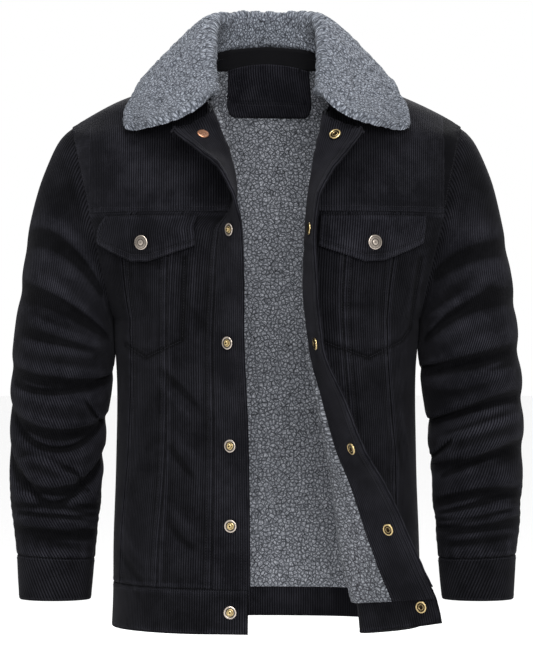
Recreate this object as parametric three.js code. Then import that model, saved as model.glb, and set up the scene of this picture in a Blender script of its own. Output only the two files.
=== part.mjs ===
// A corduroy jacket with a sherpa lining, worn open and filled out with no wearer.
// Millimetres, +Z up, front faces -Y. The wearer's left is +X. The origin lies between the
// shoulders, level with the high points of the shoulder seams, where a wearer carries it.
import * as THREE from 'three';

// Driving sizes.
const YOKE_Z = -195;
const BAND_Z = -651;
const HEM_Z = -706;
const SEAM_GAP = 0.3;
const SHELL = 2.0;
const BAND_WALL = 2.6;
const FACING = { outer: -3.2, inner: -4.8 };
const PILE = { outer: -4.0, inner: -8.4 };
const NECK_TRIM = { outer: -9.0, inner: -10.4 };
const FLAP = { outer: 3.8, inner: 1.0 };
const SLEEVE_WALL = 2.2;
const CUFF_WALL = 3.5;

// Armhole: a tilted ellipse from the armpit to the tip of the shoulder.
const ARMPIT = { x: 190, z: -325 };
const SHOULDER_TIP = { x: 243, y: 8, z: -84 };
const ARMHOLE_HALF_DEPTH = 64;

// Neck opening at the back: half width, and how far back and up the nape lies.
const NECK = { x: 82, depth: 72, rise: 19, sideSlope: 0.45 };

// Body sections, hem to yoke: half width, and depth of front and back from the side seam.
const BODY = [
  { z: -706, halfWidth: 193, front: 138, back: 128 },
  { z: -560, halfWidth: 189, front: 136, back: 120 },
  { z: -450, halfWidth: 186, front: 137, back: 120 },
  { z: -389, halfWidth: 187, front: 138, back: 124 },
  { z: -325, halfWidth: 190, front: 139, back: 129 },
  { z: -250, halfWidth: 190, front: 140, back: 134 },
  { z: -195, halfWidth: 190, front: 136, back: 132.7 },
];
const BODY_ROUND = 2.4;

// Shoulder line from the neck to the tip.
const SHOULDER = [
  { x: 82, z: 0 },
  { x: 120, z: -22 },
  { x: 156, z: -41 },
  { x: 180, z: -50 },
  { x: 204, z: -61 },
  { x: 230, z: -75 },
  { x: 243, z: -84 },
];

// Front edges. At each level the cloth leaves the body at x = roll, bends with the given
// radius until its heading has turned so far, and ends after reach from the roll.
const LEFT_FRONT = {
  side: 1,
  lift: 20,
  edge: [
    { z: -706, roll: 122, turn: 147, reach: 134, radius: 14 },
    { z: -673, roll: 119, turn: 147, reach: 131, radius: 14 },
    { z: -623, roll: 108, turn: 146, reach: 125, radius: 14 },
    { z: -575, roll: 101, turn: 142, reach: 116, radius: 14 },
    { z: -523, roll: 95, turn: 132, reach: 106, radius: 14 },
    { z: -477, roll: 87, turn: 122, reach: 94, radius: 14 },
    { z: -420, roll: 77, turn: 115, reach: 86, radius: 14 },
    { z: -353, roll: 65, turn: 105, reach: 78, radius: 14 },
    { z: -287, roll: 60, turn: 105, reach: 76, radius: 14 },
    { z: -217, roll: 62, turn: 100, reach: 74, radius: 13 },
    { z: -181, roll: 64, turn: 101, reach: 72, radius: 12 },
    { z: -150, roll: 68, turn: 112, reach: 71, radius: 11 },
    { z: -121, roll: 72, turn: 138, reach: 70, radius: 11 },
    { z: -94, roll: 77, turn: 164, reach: 68, radius: 10.5 },
    { z: -60, roll: 82, turn: 171, reach: 70, radius: 10.5 },
  ],
};
const RIGHT_FRONT = {
  side: -1,
  lift: 0,
  edge: [
    { z: -706, roll: 88, turn: 6, reach: 66, radius: 30 },
    { z: -575, roll: 85, turn: 19, reach: 66, radius: 30 },
    { z: -477, roll: 82, turn: 30, reach: 66, radius: 30 },
    { z: -353, roll: 83, turn: 37, reach: 66, radius: 28 },
    { z: -285, roll: 81, turn: 42, reach: 67, radius: 24 },
    { z: -217, roll: 75, turn: 55, reach: 68, radius: 18 },
    { z: -195, roll: 60, turn: 78, reach: 69, radius: 14 },
    { z: -170, roll: 50, turn: 96, reach: 70, radius: 12 },
    { z: -145, roll: 53, turn: 106, reach: 71, radius: 11 },
    { z: -121, roll: 58, turn: 132, reach: 71, radius: 10 },
    { z: -94, roll: 66, turn: 168, reach: 73, radius: 9 },
    { z: -60, roll: 78, turn: 172, reach: 73, radius: 9 },
  ],
};

// Long seams of the front, measured along the cloth from its free edge.
const PLACKET_WIDTH = 45;
const FACING_WIDTH = 58;
const INNER_SEAM_MARK = 108;
const OUTER_SEAM_MARK = 172;
const SIDE_MARK = 272;
const SEAMS = [
  { z: -706, inner: 120, outer: 200 },
  { z: -651, inner: 118, outer: 196 },
  { z: -353, inner: 108, outer: 172 },
  { z: -195, inner: 110, outer: 178 },
];

// Top edge of a front, at each mark across it: distance from the free edge, and height.
const TOP_EDGE = [
  { mark: 0, from: 0, z: -97 },
  { mark: 15, from: 15, z: -93 },
  { mark: 30, from: 30, z: -88 },
  { mark: 45, from: 45, z: -81 },
  { mark: 58, from: 58, z: -71 },
  { mark: 70, from: 70, z: -58 },
  { mark: 82, from: 70, z: -38 },
  { mark: 95, from: 70, z: -18 },
  { mark: 108, from: 70, z: 0 },
];

// Columns and rows of the grids. A row above the yoke seam fans out to the shoulder, at 0.
const PLACKET_MARKS = [0, 15, 30, 45];
const CENTRE_MARKS = [45, 58, 70, 76, 82, 95, 103, 108];
const MIDDLE_MARKS = [108, 129, 151, 172];
const SIDE_MARKS = [172, 197, 222, 247, 272];
const BODY_ROWS = [-651, -588, -526, -466, -408, -358, -325, -315, -292, -260, -226, -195];
const YOKE_ROWS = [-195, -155, -115, -57, -28, 0];
const LINING_FOOT = -668;
const BAND_ROWS = [HEM_Z, LINING_FOOT, BAND_Z];

// Columns of the back: share of the way from the centre to the edge, and x at the top edge.
const BACK_NECK_SHARE = 0.42;
const BACK_COLUMNS = [
  { share: 0, topX: 0 },
  { share: 0.1, topX: 30 },
  { share: 0.2, topX: 55 },
  { share: 0.29, topX: 70 },
  { share: 0.36, topX: 79 },
  { share: BACK_NECK_SHARE, topX: 82 },
  { share: 0.54, topX: 114 },
  { share: 0.66, topX: 147 },
  { share: 0.78, topX: 180 },
  { share: 0.89, topX: 212 },
  { share: 1, topX: 243 },
];

// Sleeve rings: distance along, outer and inner point seen from the front, half depth, and
// how far the ring's centre lies behind the side seam.
const SLEEVE = [
  { along: 0, outX: 243, outZ: -84, inX: 190, inZ: -325, depth: 64, y: 0 },
  { along: 30, outX: 258, outZ: -101, inX: 191.5, inZ: -336, depth: 65, y: 2 },
  { along: 65, outX: 273, outZ: -130, inX: 191.5, inZ: -346, depth: 66, y: 4 },
  { along: 100, outX: 285, outZ: -162, inX: 191.5, inZ: -357, depth: 67, y: 4 },
  { along: 150, outX: 296, outZ: -210, inX: 191.5, inZ: -374, depth: 67, y: 4 },
  { along: 200, outX: 304, outZ: -258, inX: 191.5, inZ: -392, depth: 68, y: 3 },
  { along: 250, outX: 311, outZ: -306, inX: 193, inZ: -412, depth: 67, y: 2 },
  { along: 300, outX: 316, outZ: -354, inX: 197, inZ: -438, depth: 64, y: 0 },
  { along: 350, outX: 320, outZ: -402, inX: 200, inZ: -465, depth: 60, y: -2 },
  { along: 400, outX: 321, outZ: -450, inX: 202, inZ: -496, depth: 57, y: -5 },
  { along: 450, outX: 321, outZ: -498, inX: 204, inZ: -529, depth: 54, y: -8 },
  { along: 500, outX: 319, outZ: -546, inX: 208, inZ: -563, depth: 50, y: -11 },
  { along: 540, outX: 314, outZ: -586, inX: 212, inZ: -596, depth: 46, y: -13 },
  { along: 562, outX: 310.3, outZ: -616.8, inX: 214, inZ: -620.8, depth: 43, y: -14 },
];
const CUFF = [
  { along: 0, outX: 310.3, outZ: -617.1, inX: 214, inZ: -621.1, depth: 43, y: -14 },
  { along: 28, outX: 309, outZ: -645, inX: 216, inZ: -647, depth: 42.5, y: -14 },
  { along: 56, outX: 307.4, outZ: -672, inX: 218.5, inZ: -672, depth: 42, y: -14.5 },
];
const SLEEVE_LENGTH = 562;
const SLEEVE_ROWS = [0, 32, 66, 100, 132, 164, 194, 224, 252, 280, 308, 334, 360, 386, 412, 438,
  464, 490, 515, 539, 562];
const SLEEVE_COLUMNS = 16;

// Folds across the sleeves: three points of each, by turn round the sleeve (0 outer, 90
// front, 180 inner) and distance along, then half width and height (a trough is negative).
const SLEEVE_FOLDS = [
  { sleeve: 'right', turns: [10, 70, 125], alongs: [182, 105, 20], width: 16, height: -4 },
  { sleeve: 'right', turns: [0, 84, 145], alongs: [232, 183, 95], width: 16, height: -5 },
  { sleeve: 'right', turns: [5, 90, 178], alongs: [326, 309, 185], width: 15, height: -7 },
  { sleeve: 'right', turns: [5, 75, 178], alongs: [370, 396, 300], width: 15, height: -8 },
  { sleeve: 'right', turns: [5, 84, 178], alongs: [410, 483, 370], width: 16, height: -8 },
  { sleeve: 'right', turns: [20, 95, 175], alongs: [508, 501, 486], width: 11, height: -4 },
  { sleeve: 'right', turns: [25, 100, 175], alongs: [535, 537, 530], width: 10, height: -4 },
  { sleeve: 'left', turns: [5, 70, 115], alongs: [176, 117, 10], width: 15, height: -4 },
  { sleeve: 'left', turns: [2, 70, 145], alongs: [256, 192, 105], width: 16, height: -6 },
  { sleeve: 'left', turns: [5, 94, 178], alongs: [308, 267, 165], width: 16, height: -9 },
  { sleeve: 'left', turns: [5, 90, 184], alongs: [374, 347, 334], width: 15, height: -8 },
  { sleeve: 'left', turns: [5, 90, 184], alongs: [434, 430, 414], width: 16, height: -8 },
  { sleeve: 'left', turns: [10, 90, 175], alongs: [508, 481, 492], width: 13, height: -6 },
  { sleeve: 'left', turns: [20, 95, 175], alongs: [525, 530, 522], width: 10, height: -4 },
  { sleeve: 'both', turns: [190, 262, 350], alongs: [180, 232, 246], width: 16, height: -5 },
  { sleeve: 'both', turns: [186, 255, 350], alongs: [330, 296, 318], width: 16, height: -7 },
  { sleeve: 'both', turns: [186, 270, 352], alongs: [398, 372, 358], width: 15, height: -7 },
  { sleeve: 'both', turns: [188, 265, 345], alongs: [452, 428, 442], width: 15, height: -7 },
  { sleeve: 'both', turns: [190, 270, 350], alongs: [514, 496, 505], width: 12, height: -5 },
];

// Collar: neck seam, roll and outer edge from the nape (0) to the front end (1).
const COLLAR = [
  { at: 0, neckX: 0, neckY: 79, neckZ: 20, rollX: 0, rollY: 88, rollZ: 62,
    edgeX: 0, edgeY: 114, edgeZ: -4, round: 10 },
  { at: 0.25, neckX: 45, neckY: 69, neckZ: 14.5, rollX: 46, rollY: 76, rollZ: 60,
    edgeX: 75, edgeY: 103, edgeZ: -8, round: 10 },
  { at: 0.5, neckX: 78, neckY: 33, neckZ: 4.5, rollX: 66, rollY: 38, rollZ: 53,
    edgeX: 128, edgeY: 60, edgeZ: -20, round: 10 },
  { at: 0.65, neckX: 83, neckY: 4, neckZ: 1.5, rollX: 70, rollY: 4, rollZ: 42,
    edgeX: 152, edgeY: 8, edgeZ: -30, round: 10 },
  { at: 0.8, neckX: 82, neckY: -38, neckZ: -9, rollX: 71, rollY: -42, rollZ: 16,
    edgeX: 164, edgeY: -40, edgeZ: -54, round: 9 },
  { at: 0.9, neckX: 80, neckY: -66, neckZ: -28, rollX: 70, rollY: -76, rollZ: -14,
    edgeX: 172, edgeY: -64, edgeZ: -70, round: 8 },
  { at: 1, neckX: 74, neckY: -93, neckZ: -56, rollX: 66, rollY: -112, rollZ: -52,
    edgeX: 176, edgeY: -94, edgeZ: -92, round: 7 },
];
const COLLAR_TOP = { outer: 6.8, inner: 0.3 };
const COLLAR_UNDER = { outer: 0, inner: -2.0 };
const COLLAR_STAND = 0.36;
const COLLAR_SEAT = 2.2;
const COLLAR_END = { sag: 15, forward: 42 };

// Pocket flap: how far its sides lie from the free edge, and heights of its outline.
const FLAP_SHAPE = { from: 76, to: 214, tip: 145, top: -198, innerZ: -236, outerZ: -230, tipZ: -257 };
const FLAP_SNAP_Z = -231;

// Snaps on the fronts.
const SNAP_LEVELS = [-104, -217, -353, -477, -574, -679];
const SNAP_FROM_EDGE = 22;
const TOP_SNAP_FROM_EDGE = 28;
const SNAP_SIDES = 10;

// Smooth value of one named column of a table, whose rows are in order of `key`.
function smooth(rows, key, name, at) {
  const last = rows.length - 1;
  if (at <= rows[0][key]) return rows[0][name];
  if (at >= rows[last][key]) return rows[last][name];
  let i = 0;
  while (at > rows[i + 1][key]) i += 1;
  const run = (j) => rows[j + 1][key] - rows[j][key];
  const rise = (j) => (rows[j + 1][name] - rows[j][name]) / run(j);
  const slope = (j) => {
    if (j === 0) return rise(0);
    if (j === last) return rise(last - 1);
    const before = rise(j - 1);
    const after = rise(j);
    return before * after <= 0 ? 0 : (2 * before * after) / (before + after);
  };
  const t = (at - rows[i][key]) / run(i);
  const width = run(i);
  return (
    rows[i][name] * (1 + 2 * t) * (1 - t) ** 2 +
    slope(i) * width * t * (1 - t) ** 2 +
    rows[i + 1][name] * t * t * (3 - 2 * t) +
    slope(i + 1) * width * t * t * (t - 1)
  );
}

const mix = (a, b, t) => a + (b - a) * t;
const clamp = (value, low, high) => Math.min(Math.max(value, low), high);

// Edge of the armhole at one level; face is -1 on the front and 1 on the back.
function armhole(z, face) {
  const h = clamp((z - ARMPIT.z) / (SHOULDER_TIP.z - ARMPIT.z), 0, 1);
  const halfDepth = ARMHOLE_HALF_DEPTH * 2 * Math.sqrt(h * (1 - h));
  return { x: mix(ARMPIT.x, SHOULDER_TIP.x, h), y: face * halfDepth + SHOULDER_TIP.y * h };
}

function shoulderZ(x) {
  return x < NECK.x ? (NECK.x - x) * NECK.sideSlope : smooth(SHOULDER, 'x', 'z', x);
}

// Where the shoulder line has this height.
function shoulderX(z) {
  let low = NECK.x;
  let high = SHOULDER_TIP.x;
  for (let i = 0; i < 40; i += 1) {
    const middle = (low + high) / 2;
    if (shoulderZ(middle) > z) low = middle;
    else high = middle;
  }
  return (low + high) / 2;
}

// Half width of the rounded body section that passes through the armhole at this level.
function sectionWidth(z, face) {
  if (z <= ARMPIT.z) return smooth(BODY, 'z', 'halfWidth', z);
  const depth = smooth(BODY, 'z', face < 0 ? 'front' : 'back', z);
  const edge = armhole(z, face);
  return edge.x / (1 - (edge.y / depth) ** 2) ** (1 / BODY_ROUND);
}

function sectionDepth(x, z, face) {
  const depth = smooth(BODY, 'z', face < 0 ? 'front' : 'back', z);
  return depth * Math.sqrt(Math.max(0, 1 - (Math.abs(x) / sectionWidth(z, face)) ** BODY_ROUND));
}

// y of the cloth above the yoke line. `rise` goes from 0 at that line to 1 at the top edge.
function riseY(x, rise) {
  const low = sectionDepth(x, YOKE_Z, -1);
  return SHOULDER_TIP.y - (SHOULDER_TIP.y + low) * Math.sqrt(Math.max(0, 1 - rise * rise));
}

function upperFrontY(x, z) {
  return riseY(x, clamp((z - YOKE_Z) / (shoulderZ(x) - YOKE_Z), 0, 1));
}

function upperBackY(x, rise) {
  const neck = clamp(1 - (x / NECK.x) ** 2, 0, 1);
  const top = SHOULDER_TIP.y + NECK.depth * Math.sqrt(neck);
  const low = sectionDepth(x, YOKE_Z, 1);
  const fall = Math.sqrt(Math.max(0, 1 - rise * rise));
  return top + (low - top) * mix(fall, fall * fall, neck);
}

// Level section of a front, from its outer edge to its free edge, with lengths along it.
const CURVE_STEPS = 60;
const BEND_STEPS = 16;
const sections = new Map();

function bodyCurve(z, roll) {
  const points = [];
  if (z <= YOKE_Z) {
    const depth = smooth(BODY, 'z', 'front', z);
    const width = sectionWidth(z, -1);
    const start = z > ARMPIT.z ? Math.asin(clamp(-armhole(z, -1).y / depth, 0, 1)) : 0;
    const end = Math.acos((roll / width) ** (BODY_ROUND / 2));
    for (let i = 0; i <= CURVE_STEPS; i += 1) {
      const turn = mix(start, end, i / CURVE_STEPS);
      points.push([width * Math.cos(turn) ** (2 / BODY_ROUND), -depth * Math.sin(turn)]);
    }
    return points;
  }
  const outside = z < SHOULDER_TIP.z ? armhole(z, -1).x : shoulderX(z);
  const miss = z < SHOULDER_TIP.z ? armhole(z, -1).y - upperFrontY(outside, z) : 0;
  const span = Math.max(outside - roll, 0.5);
  for (let i = 0; i <= CURVE_STEPS; i += 1) {
    const w = (i / CURVE_STEPS) ** 2;
    const x = outside - span * w;
    points.push([x, upperFrontY(x, z) + miss * (1 - w) ** 3]);
  }
  return points;
}

function frontSection(front, z) {
  const id = `${front.side} ${z.toFixed(4)}`;
  if (sections.has(id)) return sections.get(id);
  const row = (name) => smooth(front.edge, 'z', name, z);
  const roll = z > -60 ? mix(row('roll'), NECK.x, (z + 60) / 60) : row('roll');
  const points = bodyCurve(z, Math.min(roll, shoulderX(Math.max(z, SHOULDER_TIP.z)) - 0.4));
  const [endX, endY] = points[points.length - 1];
  const [beforeX, beforeY] = points[points.length - 3];
  let heading = Math.atan2(endY - beforeY, endX - beforeX);
  if (heading < 0) heading += 2 * Math.PI;
  const goal = Math.PI + THREE.MathUtils.degToRad(row('turn'));
  const reach = row('reach');
  const bend = Math.min(row('radius') * Math.abs(goal - heading), reach * 0.95);
  let [x, y] = [endX, endY];
  const rate = (goal - heading) / bend;
  const step = bend / BEND_STEPS;
  for (let i = 0; i < BEND_STEPS; i += 1) {
    const middle = heading + rate * step * (i + 0.5);
    x += step * Math.cos(middle);
    y += step * Math.sin(middle);
    points.push([x, y]);
  }
  points.push([x + (reach - bend) * Math.cos(goal), y + (reach - bend) * Math.sin(goal)]);
  const lengths = [0];
  for (let i = 1; i < points.length; i += 1) {
    const [fromX, fromY] = points[i - 1];
    lengths.push(lengths[i - 1] + Math.hypot(points[i][0] - fromX, points[i][1] - fromY));
  }
  const section = { points, lengths, total: lengths[lengths.length - 1], reach };
  sections.set(id, section);
  return section;
}

// Point of a front at height z and this far along the cloth from its free edge.
function frontAt(front, z, fromEdge) {
  const { points, lengths, total, reach } = frontSection(front, z);
  const wanted = clamp(total - fromEdge, 0, total);
  let i = 0;
  while (i < lengths.length - 2 && wanted > lengths[i + 1]) i += 1;
  const t = clamp((wanted - lengths[i]) / (lengths[i + 1] - lengths[i]), 0, 1);
  const x = mix(points[i][0], points[i + 1][0], t);
  const y = mix(points[i][1], points[i + 1][1], t);
  const below = clamp((-575 - z) / 131, 0, 1) ** 1.5;
  const out = clamp((reach - fromEdge) / reach, 0, 1) ** 1.2;
  return new THREE.Vector3(x, y, z + front.lift * below * out);
}

// Distance from the free edge at a mark across the front, at or below the yoke seam.
function fromEdgeAt(front, mark, z) {
  const inner = smooth(SEAMS, 'z', 'inner', z);
  const outer = smooth(SEAMS, 'z', 'outer', z);
  if (mark <= PLACKET_WIDTH) return mark;
  if (mark <= INNER_SEAM_MARK) {
    return mix(PLACKET_WIDTH, inner, (mark - PLACKET_WIDTH) / (INNER_SEAM_MARK - PLACKET_WIDTH));
  }
  if (mark <= OUTER_SEAM_MARK) {
    return mix(inner, outer, (mark - INNER_SEAM_MARK) / (OUTER_SEAM_MARK - INNER_SEAM_MARK));
  }
  const share = (mark - OUTER_SEAM_MARK) / (SIDE_MARK - OUTER_SEAM_MARK);
  return mix(outer, frontSection(front, z).total, share);
}

// The outer face of a front, by mark across and row up.
function frontFace(front) {
  return (mark, row) => {
    if (row <= YOKE_Z) return frontAt(front, row, fromEdgeAt(front, mark, row));
    const rise = Math.sin(((row - YOKE_Z) / -YOKE_Z) * (Math.PI / 2));
    const seamMark = Math.min(mark, INNER_SEAM_MARK);
    const topZ = smooth(TOP_EDGE, 'mark', 'z', seamMark);
    const topFrom = smooth(TOP_EDGE, 'mark', 'from', seamMark);
    const lowFrom = fromEdgeAt(front, seamMark, YOKE_Z);
    const near = frontAt(front, mix(YOKE_Z, topZ, rise), mix(lowFrom, topFrom, rise));
    if (mark < INNER_SEAM_MARK) return near;
    const share = (mark - INNER_SEAM_MARK) / (SIDE_MARK - INNER_SEAM_MARK);
    const lowX = frontAt(front, YOKE_Z, fromEdgeAt(front, mark, YOKE_Z)).x;
    const seamX = frontAt(front, YOKE_Z, lowFrom).x;
    const topX = mix(NECK.x, SHOULDER_TIP.x, share);
    const drift = (near.x - mix(seamX, NECK.x, rise)) * (1 - rise ** 6);
    const x = mix(lowX, topX, rise) + drift * (1 - share);
    const z = mix(YOKE_Z, shoulderZ(topX), rise);
    const outside = z < SHOULDER_TIP.z ? armhole(z, -1).x : x;
    const miss = z < SHOULDER_TIP.z ? armhole(z, -1).y - upperFrontY(outside, z) : 0;
    const roll = smooth(front.edge, 'z', 'roll', z);
    const reachOut = clamp((x - roll) / Math.max(outside - roll, 1), 0, 1);
    const y = mix(upperFrontY(x, z), riseY(x, rise), rise ** 6);
    return new THREE.Vector3(x, y + miss * reachOut ** 3, z);
  };
}

// The outer face of the back, by share from the centre (negative on the right) and row.
function backFace(share, row) {
  const side = Math.sign(share) || 1;
  const part = Math.abs(share);
  if (row <= YOKE_Z) {
    const [x, y] = backSection(row, part);
    return new THREE.Vector3(side * x, y, row);
  }
  const rise = Math.sin(((row - YOKE_Z) / -YOKE_Z) * (Math.PI / 2));
  const [lowX] = backSection(YOKE_Z, part);
  const topX = smooth(BACK_COLUMNS, 'share', 'topX', part);
  const topZ = topX < NECK.x ? NECK.rise * (1 - (topX / NECK.x) ** 2) : shoulderZ(topX);
  const x = mix(lowX, topX, rise);
  const z = mix(YOKE_Z, topZ, rise);
  const edge = armhole(z, 1);
  const edgeRise = clamp((z - YOKE_Z) / (SHOULDER_TIP.z - YOKE_Z), 0, 1);
  const miss = z < SHOULDER_TIP.z ? edge.y - upperBackY(edge.x, edgeRise) : 0;
  return new THREE.Vector3(side * x, upperBackY(x, rise) + miss * (x / edge.x) ** 3, z);
}

function backSection(z, part) {
  const depth = smooth(BODY, 'z', 'back', z);
  const width = sectionWidth(z, 1);
  const start = z > ARMPIT.z ? Math.asin(clamp(armhole(z, 1).y / depth, 0, 1)) : 0;
  const turn = mix(Math.PI / 2, start, part);
  return [width * Math.cos(turn) ** (2 / BODY_ROUND), depth * Math.sin(turn)];
}

// Height of the folds of a sleeve at a turn round it and a distance along.
function foldHeight(folds, turn, along) {
  let height = 0;
  for (const fold of folds) {
    const t = (turn - fold.turns[0]) / (fold.turns[2] - fold.turns[0]);
    if (t <= 0 || t >= 1) continue;
    const knee = (fold.turns[1] - fold.turns[0]) / (fold.turns[2] - fold.turns[0]);
    const line =
      (fold.alongs[0] * (1 - t) * (knee - t)) / knee +
      (fold.alongs[1] * t * (1 - t)) / (knee * (1 - knee)) +
      (fold.alongs[2] * t * (t - knee)) / (1 - knee);
    const away = (along - line) / fold.width;
    height += fold.height * Math.exp(-away * away) * Math.sin(Math.PI * t) ** 0.6;
  }
  return height;
}

// A ring's point round a sleeve or cuff, by turn in degrees and distance along.
function ringFace(rings, seat, folds) {
  return (turn, along) => {
    const ring = (name) => smooth(rings, 'along', name, along);
    const angle = THREE.MathUtils.degToRad(turn);
    const h = (1 + Math.cos(angle)) / 2;
    const lean = seat * SHOULDER_TIP.y * clamp(1 - along / 90, 0, 1) * h;
    const point = new THREE.Vector3(
      mix(ring('inX'), ring('outX'), h),
      ring('y') - ring('depth') * Math.sin(angle) + lean,
      mix(ring('inZ'), ring('outZ'), h),
    );
    const height = foldHeight(folds, (turn + 360) % 360, along);
    if (height === 0) return point;
    const centre = new THREE.Vector3(
      (ring('inX') + ring('outX')) / 2,
      ring('y'),
      (ring('inZ') + ring('outZ')) / 2,
    );
    const outward = point.clone().sub(centre).normalize();
    return point.addScaledVector(outward, height);
  };
}

// Outward normal of a face. `span` holds its lowest and highest column and row, and the
// column from which its top edge is the shoulder seam, where front and back meet edge on.
function normalOf(face, column, row, span) {
  const before = Math.max(column - span.columnStep, span.lowColumn);
  const after = Math.min(column + span.columnStep, span.highColumn);
  const across = face(after, row).sub(face(before, row));
  const up = face(column, Math.min(row + 1, span.highRow))
    .sub(face(column, Math.max(row - 1, span.lowRow)));
  const normal = across.cross(up);
  if (row > -2 && Math.abs(column) >= span.shoulderColumn) normal.y = 0;
  return normal.normalize();
}

// Direction square to the ring of a sleeve or cuff, by row.
function ringAxis(rings) {
  return (row) => {
    const ring = (name) => smooth(rings, 'along', name, -row);
    return new THREE.Vector3(ring('inZ') - ring('outZ'), 0, ring('outX') - ring('inX')).normalize();
  };
}

// A closed wall over a face: a grid of points, each moved along the face's normal to the
// outer and the inner side. With an axis the move stays square to it, as in a tube's rings.
function wall(face, columns, rows, thickness, { span, mirrored = false, closed = false, axis }) {
  const positions = [];
  const index = [];
  for (const height of [thickness.outer, thickness.inner]) {
    for (const row of rows) {
      for (const column of columns) {
        const normal = normalOf(face, column, row, span);
        if (axis) normal.projectOnPlane(axis(row)).normalize();
        const point = face(column, row).addScaledVector(normal, height);
        positions.push(mirrored ? -point.x : point.x, point.y, point.z);
      }
    }
  }
  const wide = columns.length;
  const layer = wide * rows.length;
  const quad = (a, b, c, d) => {
    if (mirrored) index.push(a, c, b, a, d, c);
    else index.push(a, b, c, a, c, d);
  };
  const lastColumn = closed ? wide : wide - 1;
  for (let j = 0; j < rows.length - 1; j += 1) {
    for (let i = 0; i < lastColumn; i += 1) {
      const next = (i + 1) % wide;
      const low = j * wide;
      const high = low + wide;
      quad(low + i, low + next, high + next, high + i);
      quad(layer + low + i, layer + high + i, layer + high + next, layer + low + next);
    }
    if (!closed) {
      const left = j * wide;
      const right = left + wide - 1;
      quad(left, left + wide, layer + left + wide, layer + left);
      quad(right, layer + right, layer + right + wide, right + wide);
    }
  }
  const top = (rows.length - 1) * wide;
  for (let i = 0; i < lastColumn; i += 1) {
    const next = (i + 1) % wide;
    quad(i, layer + i, layer + next, next);
    quad(top + i, top + next, layer + top + next, layer + top + i);
  }
  const geometry = new THREE.BufferGeometry();
  geometry.setAttribute('position', new THREE.Float32BufferAttribute(positions, 3));
  geometry.setIndex(index);
  geometry.computeVertexNormals();
  return geometry;
}

// Finishes.
const corduroy = new THREE.MeshStandardMaterial({ color: 0x232326, roughness: 0.92, metalness: 0 });
const sherpa = new THREE.MeshStandardMaterial({ color: 0x6c7078, roughness: 0.96, metalness: 0 });
const twill = new THREE.MeshStandardMaterial({ color: 0x1d1d20, roughness: 0.85, metalness: 0 });
const silver = new THREE.MeshStandardMaterial({ color: 0x9a958c, roughness: 0.4, metalness: 1 });
const copper = new THREE.MeshStandardMaterial({ color: 0xa8876c, roughness: 0.4, metalness: 1 });
const brass = new THREE.MeshStandardMaterial({ color: 0x9c8257, roughness: 0.42, metalness: 1 });

const jacket = new THREE.Group();

function addPiece(name, geometry, material) {
  const mesh = new THREE.Mesh(geometry, material);
  mesh.name = name;
  jacket.add(mesh);
  return mesh;
}

// The same marks with the first and last drawn in by half a seam gap.
function inset(marks, first = SEAM_GAP / 2, last = SEAM_GAP / 2) {
  return marks.map((mark, i) => {
    if (i === 0) return mark + first;
    return i === marks.length - 1 ? mark - last : mark;
  });
}

const FRONT_SPAN = { lowColumn: 0, highColumn: SIDE_MARK, lowRow: HEM_Z, highRow: 0,
  columnStep: 1, shoulderColumn: INNER_SEAM_MARK };
const BACK_SPAN = { lowColumn: -1, highColumn: 1, lowRow: HEM_Z, highRow: 0,
  columnStep: 0.004, shoulderColumn: BACK_NECK_SHARE };
const SHELL_WALL = { outer: 0, inner: -SHELL };

function addFront(front, sideName) {
  const face = frontFace(front);
  const options = { span: FRONT_SPAN, mirrored: front.side < 0 };
  const panelRows = inset(BODY_ROWS);
  const yokeRows = inset(YOKE_ROWS);
  const fullRows = inset([...BODY_ROWS, ...YOKE_ROWS.slice(1)]);
  const yokeMarks = inset([...CENTRE_MARKS, ...MIDDLE_MARKS.slice(1), ...SIDE_MARKS.slice(1)]);
  const add = (name, marks, rows, thickness, material) =>
    addPiece(`${name}_${sideName}`, wall(face, marks, rows, thickness, options), material);

  add('placket', inset(PLACKET_MARKS, 0), fullRows, SHELL_WALL, corduroy);
  add('front_centre', inset(CENTRE_MARKS), panelRows, SHELL_WALL, corduroy);
  add('front_middle', inset(MIDDLE_MARKS), panelRows, SHELL_WALL, corduroy);
  add('front_side', inset(SIDE_MARKS), panelRows, SHELL_WALL, corduroy);
  add('front_yoke', yokeMarks, yokeRows, SHELL_WALL, corduroy);

  const bandMarks = [...PLACKET_MARKS, ...CENTRE_MARKS.slice(1), ...MIDDLE_MARKS.slice(1),
    ...SIDE_MARKS.slice(1)];
  const bandWall = { outer: 0, inner: -BAND_WALL };
  add('waistband', inset(bandMarks, 0), inset(BAND_ROWS, 0), bandWall, corduroy);

  const liningRows = inset([LINING_FOOT, ...BODY_ROWS, ...YOKE_ROWS.slice(1)], 0);
  const facingMarks = inset([0, 15, 30, 45, FACING_WIDTH], 0.6);
  add('facing', facingMarks, liningRows, FACING, twill);
  const liningMarks = inset([FACING_WIDTH, ...CENTRE_MARKS.slice(2), ...MIDDLE_MARKS.slice(1),
    ...SIDE_MARKS.slice(1)], SEAM_GAP / 2, SEAM_GAP);
  add('lining_front', liningMarks, liningRows, PILE, sherpa);

  addFlap(front, sideName);
}

// A pointed pocket flap, hung from the yoke seam.
function flapFace(front) {
  const { from, to, tip, top, innerZ, outerZ, tipZ } = FLAP_SHAPE;
  return (fromEdge, drop) => {
    const inward = fromEdge < tip;
    const corner = inward ? from : to;
    const share = clamp((fromEdge - corner) / (tip - corner), 0, 1);
    const lowZ = mix(inward ? innerZ : outerZ, tipZ, share ** 0.93);
    return frontAt(front, mix(top, lowZ, -drop / 100), fromEdge);
  };
}

const FLAP_ROWS = [-100, -66, -33, 0];
const FLAP_SPAN = { lowColumn: FLAP_SHAPE.from, highColumn: FLAP_SHAPE.to, lowRow: -100,
  highRow: 0, columnStep: 1 };

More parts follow.
